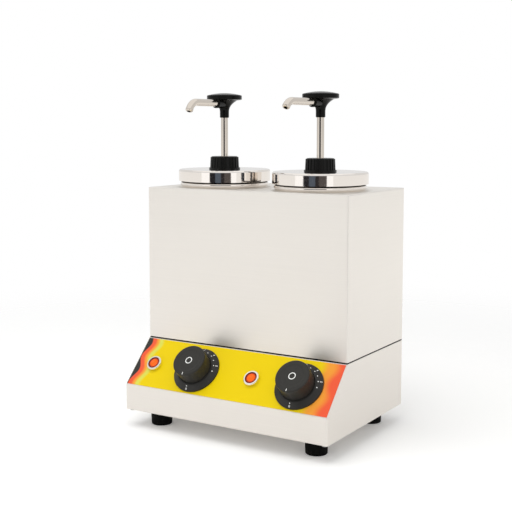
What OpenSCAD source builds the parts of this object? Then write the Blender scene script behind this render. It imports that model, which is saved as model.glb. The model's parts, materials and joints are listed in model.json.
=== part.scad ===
// Countertop warmer for hot fudge topping: two pump jars stand in heated wells
// Row frame: X is the width, the controls face -Y, Z is up
// The origin is on the counter, at the middle of the whole footprint

/* [Casing] */
// Width of the base and of the upper casing
casing_w = 340; // [330:1:400]
// Depth of the upper casing, front face to back face
upper_depth = 186; // [180:1:230]
// Height of the upper casing above its gasket
upper_height = 230; // [225:1:280]
// Distance that the base stands out in front of the upper casing
step_depth = 58.6; // [52:0.1:75]
// Height of the base, underside to flat top
base_height = 99; // [95:0.5:120]
// Height of the upright fascia below the sloping panel
fascia_height = 38.3; // [30:0.1:45]
// Thickness of the stainless sheet
sheet_t = 1; // [0.8:0.1:1.5]
// Outer radius of the sheet's bends
bend_r = 2; // [1.6:0.1:4]
// Width of the inward flanges that take screws
flange_w = 12; // [10:0.5:16]
// Thickness of the floor plate
floor_t = 1.2; // [0.8:0.1:2]
// Height of the black gasket between base and upper casing
gasket_h = 2; // [1:0.1:4]
// Distance that the gasket is set back from the casing's faces
gasket_setback = 0.8; // [0.5:0.1:2]
// Width of a cooling slot
slot_w = 4; // [3:0.1:5]

/* [Feet] */
// Height of a rubber foot
foot_h = 26; // [18:0.5:35]
// Radius of a foot at its top
foot_top_r = 16.5; // [14:0.1:18]
// Radius of a foot where it stands on the counter
foot_bottom_r = 15.6; // [13:0.1:17]
// Distance from the casing's side to a foot's axis
foot_from_side = 37; // [25:0.5:50]
// Distance from the fascia to a front foot's axis
foot_from_front = 39.5; // [25:0.5:50]
// Distance from the back wall to a rear foot's axis
foot_from_back = 31; // [25:0.5:50]

/* [Jars and wells] */
// Distance between the two jars' axes
jar_pitch = 167; // [160:0.5:185]
// Distance from the upper casing's front face to the jars' axes
jar_from_front = 80; // [76:0.5:95]
// Outer radius of a jar's body
jar_r = 61.5; // [56:0.1:63]
// Depth of a jar below the deck
jar_depth = 180; // [150:1:190]
// Thickness of the jar's wall
jar_t = 0.8; // [0.6:0.1:1.2]
// Greatest radius of the bead that stands on the deck
bead_r = 67.9; // [67:0.1:68.4]
// Height of the bead
bead_h = 8.4; // [7:0.1:10]
// Outer radius of the jar's neck above the bead
neck_r = 66; // [64:0.1:67]
// Radius of the jar's bottom corner
jar_corner_r = 8; // [4:0.5:15]
// Radial gap between a jar and its well
well_gap = 1.8; // [1:0.1:2.4]
// Thickness of the well's wall
well_t = 0.8; // [0.6:0.1:1.2]
// Gap between the jar's bottom and the well's floor
well_floor_gap = 6.2; // [3:0.1:12]
// Width of the well's flange under the deck
well_flange_w = 7; // [4:0.5:9]
// Distance from the well's bore to the line where the bead stands on the deck
bead_seat = 1.9; // [1:0.1:2.2]

/* [Lids] */
// Outer radius of a lid's wall
lid_r = 70.4; // [70:0.1:78]
// Height of the lid's top face above the deck
lid_top = 26.5; // [24:0.1:32]
// Height of the lid wall's lower edge above the deck
lid_wall_from = 9; // [8.8:0.1:12]
// Radius of the lid's outer edge
lid_edge_r = 3; // [1.5:0.1:5]
// Thickness of the lid's sheet
lid_t = 0.8; // [0.6:0.1:1.2]

/* [Pump] */
// Radius of the rod
rod_r = 5.4; // [5:0.1:6]
// Radius of the bore through the rod
rod_bore_r = 4; // [3:0.1:4.4]
// Length of rod that shows at rest
rod_show = 59; // [56:0.5:75]
// Travel of the pump
stroke = 50; // [30:1:55]
// Height of the ribbed cap
cap_h = 19.4; // [17:0.1:26]
// Radius of the cap at its lower flange
cap_flange_r = 23.8; // [22.5:0.1:26]
// Radius of the cap at its top
cap_top_r = 21.4; // [19:0.1:22]
// Thickness of the cap's top wall
cap_wall = 3.4; // [2.4:0.1:5]
// Number of ribs on the cap
cap_ribs = 24; // [16:1:30]
// Outer radius of the pump cylinder
barrel_r = 15; // [14.5:0.1:16.5]
// Radius of the pump cylinder's bore
barrel_bore_r = 13; // [12:0.1:13.8]
// Outer radius of the guide tube above the cylinder
guide_r = 10; // [9.5:0.1:12]
// Bore radius of the guide tube
guide_bore_r = 8; // [7.8:0.1:8.6]
// Thickness of the shoulder between the guide tube and the cylinder
shoulder_t = 3; // [2:0.1:5]
// Height left below the pressed piston for the squeezed spring
spring_room = 17.7; // [15:0.1:30]
// Gap between the foot valve's inlet and the jar's floor
inlet_gap = 14.2; // [8:0.1:20]
// Thickness of the piston
piston_h = 14; // [8:0.5:16]
// Height of the foot valve's spigot inside the cylinder
spigot_h = 12; // [8:0.5:16]
// Height of the rod's collars above and below the piston
collar_h = 2; // [1:0.1:3]
// Length of rod inside the handle's hub
rod_in_hub = 14; // [10:0.5:15]
// Overall length of the foot valve below the cylinder
valve_h = 40; // [30:1:45]
// Radius of the valve ball
ball_r = 6; // [5:0.1:7]
// Radius of the foot valve's inlet
inlet_r = 4.5; // [3:0.1:4.8]
// Radius of the return spring, to the middle of its wire
spring_r = 10.8; // [10.2:0.1:11]
// Radius of the spring's wire
wire_r = 0.8; // [0.5:0.05:1]
// Number of turns of the spring
spring_turns = 8; // [5:1:12]

/* [Head] */
// Radius of the handle's hub
hub_r = 7; // [6.6:0.1:9]
// Height from the hub's lower end to the spout's axis
hub_to_spout = 22; // [20:0.5:28]
// Height from the hub's lower end to the palm rest's edge
hub_to_palm = 27.2; // [25:0.1:36]
// Radius of the palm rest
palm_r = 26.8; // [22:0.1:32]
// Thickness of the palm rest's edge
palm_t = 7.2; // [4:0.1:10]
// Rise of the palm rest's dome
palm_rise = 3.2; // [2:0.1:8]
// Width of the flat rim under the palm rest, outside its trumpet
palm_rim = 7.3; // [4:0.1:10]
// Outer radius of the sleeve that holds the spout
sleeve_r = 7.6; // [7:0.1:9]
// Distance from the rod's axis to the sleeve's mouth
sleeve_reach = 25.5; // [17:0.5:30]
// Outer radius of the spout's tube
spout_r = 5.4; // [4.5:0.1:6]
// Wall of the spout's tube
spout_t = 1; // [0.6:0.1:1.4]
// Distance from the rod's axis to the middle of the spout's mouth
spout_reach = 101; // [85:0.5:115]
// Drop from the left spout's axis to the middle of its mouth
spout_drop_left = 13.4; // [8:0.1:15.5]
// Drop from the right spout's axis to the middle of its mouth
spout_drop_right = 9.4; // [8:0.1:15.5]
// Radius of the spout's bend, to its axis
spout_bend_r = 20; // [16:0.5:26]
// Length of the spout's rounded nose
nose_l = 2.4; // [1.5:0.1:4]
// Radius of the spout's mouth
mouth_r = 2.8; // [2:0.1:3.5]
// Turn of the left head at rest, towards +X
left_head_turn = 3; // [-10:1:10]

/* [Controls] */
// Distance between the left and the right set of controls
control_pitch = 171.5; // [160:0.5:190]
// Middle of the two lamps, from the casing's middle
lamp_mid = -49.7; // [-60:0.1:-40]
// Middle of the two knobs, from the casing's middle
knob_mid = 26.8; // [20:0.1:32]
// Height of the controls' axes up the sloping panel
control_up = 39.6; // [38:0.1:44]
// Thickness of the printed overlay
overlay_t = 0.5; // [0.3:0.1:1]
// Bare border round the overlay
overlay_border = 1.5; // [1:0.1:4]
// Radius of the fixed scale ring round a knob
scale_r = 36; // [34:0.1:38]
// Height of the scale ring's top above the panel
scale_h = 7.8; // [6.5:0.1:10]
// Thickness of the scale ring's floor
scale_floor_t = 1.6; // [1.2:0.1:2.2]
// Gap between a knob's grip and the scale ring round it
scale_gap = 0.8; // [0.5:0.1:1.2]
// Radius of the knob's grip
grip_r = 25.1; // [23:0.1:26]
// Height of the knob's face above the panel
knob_h = 29.5; // [24:0.1:34]
// Edge radius of the knob's face
knob_edge_r = 2; // [1:0.1:3]
// Radius of the thermostat's spindle
spindle_r = 3; // [2.5:0.1:3.5]
// Radius of the thermostat's bushing
bushing_r = 5; // [4.5:0.1:6]
// Outer radius of the lamp's bezel
bezel_r = 11.8; // [11:0.1:13]
// Height of the bezel above the panel
bezel_h = 5.5; // [4:0.1:7]
// Radius of the lamp's lens
lens_r = 9.2; // [8:0.1:10]
// Radius of the lamp's body behind the panel
lamp_body_r = 7.9; // [6.5:0.1:7.9]
// Length of the lamp's body behind the panel
lamp_body_l = 26; // [18:0.5:30]
// Depth of the thermostat behind the panel
thermostat_deep = 28; // [24:0.5:32]
// Depth of the spindle's bore behind the panel
spindle_in = 14; // [10:0.5:20]
// Gap between the knob's low end and the screw heads under it
knob_gap = 0.8; // [0.5:0.1:2]

/* [Services] */
// Radius of the cable gland's dome
gland_r = 11; // [10:0.5:14]
// Distance that the gland stands out behind the casing
gland_out = 20; // [16:0.5:28]
// Radius of the gland's cable bore
gland_bore_r = 4.5; // [3:0.1:6]
// Radius of the gland's thread
gland_thread_r = 8; // [7:0.1:8.5]
// Length of the gland's thread inside the casing
gland_thread_l = 8; // [6:0.5:12]
// Distance from the casing's left side to the gland's axis
gland_from_side = 60; // [40:1:110]
// Height of the gland's axis above the base's underside
gland_up = 32; // [25:1:60]
// Height of a heater band
heater_h = 70; // [40:1:90]
// Thickness of a heater band
heater_t = 3; // [2:0.1:5]
// Height of a heater band's lower edge above the well's floor
heater_up = 22; // [10:1:40]
// Radius of a thermostat's sensing bulb
bulb_r = 3; // [2.5:0.1:3.4]
// Gap between the heater band and the sensing bulb above it
bulb_over_heater = 8; // [4:0.5:20]
// Gap between the sensing bulb and the well's flange above it
bulb_under_flange = 20.4; // [4:0.1:30]

/* [Clearances] */
// Radial gap of a running fit
run_gap = 0.05; // [0.02:0.01:0.1]
// Radial gap of an assembled fit that does not move
fit_gap = 0.02; // [0.01:0.01:0.05]
// Gap at a stop, and between rounded pieces that lie together
rest_gap = 0.3; // [0.2:0.05:0.5]
// Radial gap of a clearance hole
hole_gap = 0.3; // [0.2:0.05:0.6]

/* [Fasteners] */
// Shank radius of a casing screw
screw_r = 2; // [1.5:0.1:2.5]
// Head radius of a casing screw
head_r = 3.8; // [3.2:0.1:4.6]
// Head height of a casing screw
head_h = 2.2; // [1.6:0.1:3]
// Shank radius of a foot screw
foot_screw_r = 2.5; // [2:0.1:3]
// Head radius of a foot screw
foot_head_r = 5; // [4:0.1:6]
// Head height of a foot screw
foot_head_h = 3; // [2:0.1:4]
// Shank radius of a screw through a scale ring and its thermostat
scale_screw_r = 1.5; // [1.2:0.1:1.5]
// Head radius of a scale ring's screw
scale_head_r = 2.8; // [2.2:0.1:3]
// Head height of a scale ring's screw
scale_head_h = 2; // [1.4:0.1:2.2]
// Height of the nut on a scale ring's screw
scale_nut_h = 2.4; // [1.8:0.1:3]
// Depth of the counterbore in a foot
foot_pocket = 10; // [6:0.5:14]
// Height of a casing screw's nut
nut_h = 3; // [2:0.1:4]
// Height of a foot screw's nut
foot_nut_h = 4; // [3:0.1:6]
// Length of screw that shows past its nut
screw_spare = 2; // [1:0.1:4]

/* [Hidden] */
$fn = 96;

LEFT = -1;
RIGHT = 1;
STAINLESS = [0.86, 0.85, 0.83];
POLISHED = [0.8, 0.79, 0.77];
BLACK = [0.1, 0.1, 0.09];
CHARCOAL = [0.22, 0.22, 0.22];
YELLOW = [0.94, 0.82, 0.08];
LAMP_RED = [0.95, 0.25, 0.05];
WHITE = [0.93, 0.93, 0.9];
BRASS = [0.75, 0.6, 0.3];
// Small overshoot that makes cuts clean
eps = 0.5;

// Slope of the control panel, in degrees from level, and its length
panel_rise = base_height - fascia_height;
panel_tilt = atan2(panel_rise, step_depth);
panel_l = norm([panel_rise, step_depth]);

// Levels
base_z = foot_h;
base_top_z = base_z + base_height;
upper_z = base_top_z + gasket_h;
deck_z = upper_z + upper_height;
lid_z = deck_z + lid_top;
cap_top_z = lid_z + cap_h;
hub_z = cap_top_z + rod_show;
spout_z = hub_z + hub_to_spout;

// Reach of the knob's face in front of the fascia, which sets the footprint's front
knob_front = (knob_h - knob_edge_r) * sin(panel_tilt) + knob_edge_r
           - (control_up - grip_r + knob_edge_r) * cos(panel_tilt);
front_reach = step_depth + max(knob_front, 0);
// Front face of the upper casing, with the footprint's middle at zero
front_y = (front_reach - upper_depth - gland_out) / 2;
fascia_y = front_y - step_depth;
back_y = front_y + upper_depth;
jar_y = front_y + jar_from_front;

// Screw lines run along the middle of the flanges
screw_inset = sheet_t + flange_w / 2;
screw_x = casing_w / 2 - screw_inset;

// Bore of the wells and of the deck's holes
well_bore_r = jar_r + well_gap;
well_r = well_bore_r + well_t;
well_floor_z = deck_z - jar_depth - well_floor_gap;
well_flange_r = well_r + well_flange_w;
well_flange_z = deck_z - sheet_t - well_t;

// Pump levels from the jar's floor up: foot valve, spring, stroke, piston and shoulder
jar_low_z = deck_z - jar_depth;
barrel_end_z = jar_low_z + jar_t + inlet_gap + valve_h;
spigot_z = barrel_end_z + spigot_h;
piston_z = spigot_z + spring_room + stroke;
piston_top_z = piston_z + piston_h;
shoulder_z = piston_top_z + rest_gap;
barrel_top_z = cap_top_z - cap_wall - rest_gap;
collar_gap = 0.5;
collar_r = guide_bore_r - collar_gap;

// Heater band and sensing bulb on the well's wall
heater_z = well_floor_z + heater_up;
bulb_z = heater_z + heater_h + bulb_over_heater;
bulb_top_z = well_flange_z - bulb_under_flange;

// Inward shift of a convex outline, corner by corner
function unit(v) = v / norm(v);
function left_of(a, b) = [-(b[1] - a[1]), b[0] - a[0]];
function corner_shift(p, a, b, d) =
  let (n = unit(left_of(a, p)), m = unit(left_of(p, b))) p + d * (n + m) / (1 + n * m);
function inset(pts, d) =
  let (c = len(pts))
  [for (i = [0 : c - 1]) corner_shift(pts[i], pts[(i + c - 1) % c], pts[(i + 1) % c], d)];

// Outline with its corners rounded to radius r
function corner_arc(p, a, b, r, steps) =
  let (
    u = unit(a - p),
    v = unit(b - p),
    half = acos(u * v) / 2,
    centre = p + unit(u + v) * r / sin(half),
    from = p + u * r / tan(half) - centre,
    to = p + v * r / tan(half) - centre,
    a0 = atan2(from[1], from[0]),
    turn = (atan2(to[1], to[0]) - a0 + 540) % 360 - 180
  )
  [for (k = [0 : steps]) centre + r * [cos(a0 + turn * k / steps), sin(a0 + turn * k / steps)]];
function rounded(pts, r, steps = 6) =
  let (c = len(pts))
  [for (i = [0 : c - 1]) each corner_arc(pts[i], pts[(i + c - 1) % c], pts[(i + 1) % c], r, steps)];

// Quarter arc about a centre, from one angle to another
function arc(cx, cy, r, a0, a1, steps = 8) =
  [for (k = [0 : steps]) let (a = a0 + (a1 - a0) * k / steps) [cx + r * cos(a), cy + r * sin(a)]];

// Rectangle by its two corners
function rect(x0, y0, x1, y1) = [[x0, y0], [x1, y0], [x1, y1], [x0, y1]];

// Box by its two corners
module block(a, b) translate(a) cube(b - a);

// Hole of radius r through a sheet that lies within 5 mm of the XY plane
module drill(r) translate([0, 0, -5]) cylinder(r = r, h = 10);

// Outline in the YZ plane, drawn out along X over the width w
module along_x(w, pts) translate([-w / 2, 0, 0]) rotate([90, 0, 90]) linear_extrude(w) polygon(pts);

// Places in the panel's own frame: X across, Y up the slope, Z out of the panel
module on_panel(x) {
  translate([x, fascia_y, base_z + fascia_height]) rotate([panel_tilt, 0, 0])
    translate([0, control_up, 0]) children();
}
function lamp_x(side) = lamp_mid + side * control_pitch / 2;
function knob_x(side) = knob_mid + side * control_pitch / 2;

// Holes for a thermostat's bushing and for the two screws beside it
scale_screw_x = 21;
module thermostat_holes() {
  drill(bushing_r + hole_gap);
  for (s = [LEFT, RIGHT]) translate([s * scale_screw_x, 0, 0]) drill(scale_screw_r + hole_gap);
}

// Places on a jar's axis
module on_jar(side, z = 0) translate([side * jar_pitch / 2, jar_y, z]) children();

// Places on the head, which turns with the rod
module on_head(side, z = 0) {
  on_jar(side, z) rotate([0, 0, side == LEFT ? left_head_turn : 0]) children();
}

// Ring between two radii
module ring(r_out, r_in, h) {
  difference() {
    cylinder(r = r_out, h = h);
    translate([0, 0, -eps]) cylinder(r = r_in, h = h + 2 * eps);
  }
}

// Places of the screws and feet, seen from above
function frame_spots(y0, y1) = [for (x = [-screw_x, screw_x]) for (y = [y0, y1]) [x, y]];
casing_spots = frame_spots(front_y + screw_inset, back_y - screw_inset);
floor_spots = concat(
  frame_spots(fascia_y + screw_inset, back_y - screw_inset),
  [for (x = [-screw_x, screw_x]) [x, (fascia_y + back_y) / 2]]
);
foot_x = casing_w / 2 - foot_from_side;
foot_front_y = fascia_y + foot_from_front;
foot_rear_y = back_y - foot_from_back;
foot_spots = [for (x = [-foot_x, foot_x]) for (y = [foot_front_y, foot_rear_y]) [x, y]];

// Rear panel screws, as X and Z; those at the corners stand clear of the casing screws
corner_step = 14;
rear_low_z = upper_z + screw_inset;
rear_high_z = deck_z - screw_inset;
rear_spots = concat(
  [[0, rear_low_z], [0, rear_high_z]],
  [for (x = [-screw_x, screw_x]) for (z = [rear_low_z + corner_step, rear_high_z - corner_step])
    [x, z]]
);

// Base: side outline, drawn anticlockwise from the rear underside
base_outline = [
  [back_y, base_z], [back_y, base_top_z], [front_y, base_top_z],
  [fascia_y, base_z + fascia_height], [fascia_y, base_z]
];
base_window_x = casing_w / 2 - sheet_t - flange_w;

module base_body(shift, r) {
  intersection() {
    along_x(casing_w - 2 * shift, rounded(inset(base_outline, shift), r));
    translate([0, 0, base_z - eps]) linear_extrude(base_height + 2 * eps)
      polygon(rounded(rect(
        -casing_w / 2 + shift, fascia_y + shift, casing_w / 2 - shift, back_y - shift), r));
  }
}

module base_shell() {
  inner_r = bend_r - sheet_t;
  lip_z = base_z + floor_t;
  color(STAINLESS) difference() {
    base_body(0, bend_r);
    // Hollow above the lower flange
    intersection() {
      base_body(sheet_t, inner_r);
      block([-casing_w, fascia_y, lip_z + sheet_t], [casing_w, back_y, base_top_z]);
    }
    // Seat of the floor plate, and the way in through the lower flange
    block([-casing_w / 2 + sheet_t, fascia_y + sheet_t, base_z - eps],
          [casing_w / 2 - sheet_t, back_y - sheet_t, lip_z]);
    block([-base_window_x, fascia_y + sheet_t + flange_w, base_z - eps],
          [base_window_x, back_y - sheet_t - flange_w, lip_z + sheet_t + eps]);
    // Window to the upper casing
    block([-base_window_x, front_y + sheet_t + flange_w, base_top_z - sheet_t - eps],
          [base_window_x, back_y - sheet_t - flange_w, base_top_z + eps]);
    for (side = [LEFT, RIGHT]) {
      on_panel(lamp_x(side)) drill(lamp_body_r + hole_gap);
      on_panel(knob_x(side)) thermostat_holes();
    }
    for (p = casing_spots) translate([p[0], p[1], base_top_z]) drill(screw_r + hole_gap);
    for (p = floor_spots) translate([p[0], p[1], base_z]) drill(screw_r + hole_gap);
    gland_place() drill(gland_thread_r + hole_gap);
  }
}

module base_floor() {
  slot_l = 40;
  slot_pitch = 18;
  row_gap = 10;
  color(STAINLESS) difference() {
    block([-casing_w / 2 + sheet_t + fit_gap, fascia_y + sheet_t + fit_gap, base_z],
          [casing_w / 2 - sheet_t - fit_gap, back_y - sheet_t - fit_gap, base_z + floor_t]);
    for (p = floor_spots) translate([p[0], p[1], base_z]) drill(screw_r + hole_gap);
    for (p = foot_spots) translate([p[0], p[1], base_z]) drill(foot_screw_r + hole_gap);
    // Cooling slots under the wells, in two rows
    for (x = [-3 : 3]) for (row = [-1, 0])
      translate([x * slot_pitch, jar_y + row_gap / 2 + row * (slot_l + row_gap), base_z])
        block([-slot_w / 2, 0, -eps], [slot_w / 2, slot_l, floor_t + eps]);
  }
}

// Screw with a domed head below, which grips a stack of the height grip with a nut above it
module screw(r, hr, hh, grip, nut) {
  edge = 1;
  across = 1.9;
  end = grip + nut + screw_spare;
  rotate_extrude() polygon(concat(
    [[0, -hh], [hr - edge, -hh]], arc(hr - edge, -hh + edge, edge, -90, 0),
    [[hr, 0], [r, 0], [r, end], [0, end]]));
  translate([0, 0, grip]) cylinder(r = r * across, h = nut, $fn = 6);
}

module floor_screws() {
  color(POLISHED) for (p = floor_spots) translate([p[0], p[1], base_z])
    screw(screw_r, head_r, head_h, floor_t + sheet_t, nut_h);
}

module foot(x, y) {
  edge = 2;
  bevel = 1;
  pocket_gap = 1;
  color(BLACK) translate([x, y, 0]) difference() {
    rotate_extrude() polygon(concat(
      [[0, 0], [foot_bottom_r - edge, 0]], arc(foot_bottom_r - edge, edge, edge, -90, 0),
      [[foot_top_r, foot_h - bevel], [foot_top_r - bevel, foot_h], [0, foot_h]]));
    translate([0, 0, -eps]) cylinder(r = foot_head_r + pocket_gap, h = foot_pocket + eps);
    cylinder(r = foot_screw_r + hole_gap, h = foot_h + eps);
  }
}

module foot_screws() {
  color(POLISHED) for (p = foot_spots) translate([p[0], p[1], foot_pocket])
    screw(foot_screw_r, foot_head_r, foot_head_h, foot_h - foot_pocket + floor_t, foot_nut_h);
}

module control_overlay() {
  low = -control_up + overlay_border;
  color(YELLOW) on_panel(0) difference() {
    block([-casing_w / 2 + overlay_border, low, 0],
          [casing_w / 2 - overlay_border, low + panel_l - 2 * overlay_border, overlay_t]);
    for (side = [LEFT, RIGHT]) {
      translate([lamp_x(side), 0, 0]) drill(lamp_body_r + hole_gap);
      translate([knob_x(side), 0, 0]) thermostat_holes();
    }
  }
}

module casing_gasket() {
  color(BLACK) difference() {
    block([-casing_w / 2 + gasket_setback, front_y + gasket_setback, base_top_z],
          [casing_w / 2 - gasket_setback, back_y - gasket_setback, upper_z]);
    block([-base_window_x, front_y + sheet_t + flange_w, base_top_z - eps],
          [base_window_x, back_y - sheet_t - flange_w, upper_z + eps]);
    for (p = casing_spots) translate([p[0], p[1], base_top_z]) drill(screw_r + hole_gap);
  }
}

// Screws of the upper casing, up through the base's top flange and in through the rear panel
module casing_screws() {
  color(POLISHED) for (p = casing_spots) translate([p[0], p[1], base_top_z - sheet_t])
    screw(screw_r, head_r, head_h, 2 * sheet_t + gasket_h, nut_h);
  color(POLISHED) for (p = rear_spots) translate([p[0], back_y, p[1]]) rotate([90, 0, 0])
    screw(screw_r, head_r, head_h, 2 * sheet_t, nut_h);
}

// Upper casing: walls and the bends of the top edge; the deck fills the top inside its rim
deck_rim = 1;
deck_inset = bend_r + deck_rim;

module upper_body() {
  w = casing_w / 2;
  intersection() {
    translate([0, 0, upper_z]) linear_extrude(upper_height)
      polygon(rounded(rect(-w, front_y, w, back_y), bend_r));
    along_x(casing_w, concat(
      [[back_y, upper_z], [back_y, deck_z]],
      arc(front_y + bend_r, deck_z - bend_r, bend_r, 90, 180), [[front_y, upper_z]]));
    translate([0, back_y, 0]) rotate([90, 0, 0]) linear_extrude(upper_depth) polygon(concat(
      [[-w, upper_z], [w, upper_z]], arc(w - bend_r, deck_z - bend_r, bend_r, 0, 90),
      arc(-w + bend_r, deck_z - bend_r, bend_r, 90, 180)));
  }
}

module upper_casing() {
  w = casing_w / 2;
  color(STAINLESS) difference() {
    upper_body();
    block([-w + sheet_t, front_y + sheet_t, upper_z + sheet_t],
          [w - sheet_t, back_y - 2 * sheet_t, deck_z - sheet_t]);
    // Opening of the deck
    block([-w + deck_inset, front_y + deck_inset, deck_z - sheet_t - eps],
          [w - deck_inset, back_y + eps, deck_z + eps]);
    // Seat of the rear panel, and the way in through the rear flange
    block([-w + sheet_t, back_y - sheet_t, upper_z + sheet_t],
          [w - sheet_t, back_y + eps, deck_z - sheet_t]);
    block([-base_window_x, back_y - 3 * sheet_t, upper_z + sheet_t + flange_w],
          [base_window_x, back_y, deck_z - sheet_t - flange_w]);
    // Window to the base
    block([-base_window_x, front_y + sheet_t + flange_w, upper_z - eps],
          [base_window_x, back_y - sheet_t - flange_w, upper_z + sheet_t + eps]);
    for (p = casing_spots) translate([p[0], p[1], upper_z]) drill(screw_r + hole_gap);
    for (p = rear_spots) translate([p[0], back_y, p[1]]) rotate([90, 0, 0]) drill(screw_r + hole_gap);
  }
}

module deck() {
  w = casing_w / 2 - deck_inset;
  color(STAINLESS) difference() {
    block([-w, front_y + deck_inset, deck_z - sheet_t], [w, back_y, deck_z]);
    for (side = [LEFT, RIGHT]) on_jar(side, deck_z - sheet_t - eps)
      cylinder(r = well_bore_r, h = sheet_t + 2 * eps);
  }
}

module rear_panel() {
  w = casing_w / 2 - sheet_t - fit_gap;
  slot_l = 36;
  slot_pitch = 12;
  slots_from = upper_z + 50;
  color(STAINLESS) difference() {
    block([-w, back_y - sheet_t, upper_z + sheet_t + fit_gap],
          [w, back_y, deck_z - sheet_t - fit_gap]);
    for (p = rear_spots) translate([p[0], back_y, p[1]]) rotate([90, 0, 0]) drill(screw_r + hole_gap);
    for (side = [LEFT, RIGHT]) for (i = [0 : 5])
      translate([side * jar_pitch / 2, back_y - sheet_t, slots_from + i * slot_pitch])
        block([-slot_l / 2, -eps, 0], [slot_l / 2, sheet_t + eps, slot_w]);
  }
}

// Cable gland on the back wall; Z runs out of the wall here
gland_x = -casing_w / 2 + gland_from_side;
module gland_place() {
  translate([gland_x, back_y, base_z + gland_up]) rotate([-90, 0, 0]) children();
}

module cable_gland() {
  collar = 5;
  dome = gland_r - 1;
  round_r = 6;
  inside = sheet_t + gland_thread_l;
  color(BLACK) gland_place() difference() {
    union() {
      translate([0, 0, -inside]) cylinder(r = gland_thread_r, h = inside + eps);
      cylinder(r = gland_r, h = collar, $fn = 6);
      rotate_extrude() polygon(concat(
        [[0, collar], [dome, collar]], arc(dome - round_r, gland_out - round_r, round_r, 0, 90),
        [[0, gland_out]]));
    }
    translate([0, 0, -inside - eps]) cylinder(r = gland_bore_r, h = inside + gland_out + 2 * eps);
  }
}

module gland_nut() {
  thick = 5;
  color(BLACK) gland_place() translate([0, 0, -sheet_t - thick]) difference() {
    cylinder(r = gland_r, h = thick, $fn = 6);
    translate([0, 0, -eps]) cylinder(r = gland_thread_r + fit_gap, h = thick + 2 * eps);
  }
}

// Terminal block: three poles on a foot, each with two screw wells and a hole for its wires
module terminal_block() {
  pole = 12;
  deep = 20;
  high = 15;
  foot = 4;
  from_gland = 20;
  from_back = 70;
  rib = 2;
  wire_up = 6;
  well_in = 6;
  place = [gland_x + from_gland, back_y - from_back, base_z + floor_t];
  color(WHITE) translate(place) for (i = [0 : 2]) translate([i * pole, 0, 0]) difference() {
    union() {
      cube([pole, deep, foot]);
      translate([rib / 2, rib, 0]) cube([pole - rib, deep - 2 * rib, high]);
    }
    for (y = [well_in, deep - well_in]) translate([pole / 2, y, wire_up]) cylinder(r = 2, h = high);
    translate([pole / 2, -eps, wire_up]) rotate([-90, 0, 0]) cylinder(r = 1.6, h = deep + 2 * eps);
  }
}

module heating_well(side) {
  color(POLISHED) on_jar(side) rotate_extrude() polygon([
    [0, well_floor_z - well_t], [well_r, well_floor_z - well_t],
    [well_r, well_flange_z], [well_flange_r, well_flange_z],
    [well_flange_r, deck_z - sheet_t], [well_bore_r, deck_z - sheet_t],
    [well_bore_r, well_floor_z], [0, well_floor_z]
  ]);
}

// Heater band: a split ring drawn tight by a bolt through two ears, which face the other well
module heater_band(side) {
  inner = well_r + rest_gap;
  outer = inner + heater_t;
  ear_l = 9;
  ear_t = 2;
  split = 5;
  sink = 1;
  bolt_spare = 4;
  bolt_l = split + 2 * (ear_t + bolt_spare);
  color(BRASS) on_jar(side, heater_z) rotate([0, 0, side == LEFT ? 0 : 180]) difference() {
    union() {
      ring(outer, inner, heater_h);
      for (s = [0, 1]) mirror([0, s, 0]) translate([outer - sink, split / 2, 0])
        cube([ear_l, ear_t, heater_h]);
      translate([outer + ear_l / 2, bolt_l / 2, heater_h / 2]) rotate([90, 0, 0])
        cylinder(r = screw_r, h = bolt_l);
    }
    translate([inner - 2 * sink, -split / 2, -eps])
      cube([heater_t + 2 * sink, split, heater_h + 2 * eps]);
  }
}

// Swept tube along a list of points, with flat ends
function tangent(pts, i) =
  let (n = len(pts)) unit(pts[min(i + 1, n - 1)] - pts[max(i - 1, 0)]);
module swept_tube(pts, r, sides, side_dir) {
  n = len(pts);
  rings = [for (i = [0 : n - 1])
    let (t = tangent(pts, i), u = unit(side_dir(i) - (side_dir(i) * t) * t), v = cross(t, u))
    for (k = [0 : sides - 1]) pts[i] + r * (cos(360 * k / sides) * u + sin(360 * k / sides) * v)];
  walls = [for (i = [0 : n - 2]) for (k = [0 : sides - 1])
    let (a = i * sides + k, b = i * sides + (k + 1) % sides)
    each [[a, b + sides, b], [a, a + sides, b + sides]]];
  caps = concat(
    [for (k = [1 : sides - 2]) [0, k, k + 1]],
    [for (k = [1 : sides - 2]) let (e = (n - 1) * sides) [e, e + k + 1, e + k]]);
  polyhedron(points = rings, faces = concat(walls, caps), convexity = 10);
}

// Smooth curve through a list of points
function spline(p, i, t) =
  let (
    n = len(p),
    a = p[max(i - 1, 0)],
    b = p[i],
    c = p[min(i + 1, n - 1)],
    d = p[min(i + 2, n - 1)]
  )
  0.5 * (2 * b + (c - a) * t + (2 * a - 5 * b + 4 * c - d) * t * t
         + (3 * b - a - 3 * c + d) * t * t * t);
function smooth(p, steps) = concat(
  [for (i = [0 : len(p) - 2]) for (k = [0 : steps - 1]) spline(p, i, k / steps)],
  [p[len(p) - 1]]);

// Point in the row frame, from its place across, up the slope and out of the panel
function panel_point(x, up, out) = [
  x,
  fascia_y + up * cos(panel_tilt) - out * sin(panel_tilt),
  base_z + fascia_height + up * sin(panel_tilt) + out * cos(panel_tilt)
];

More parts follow.
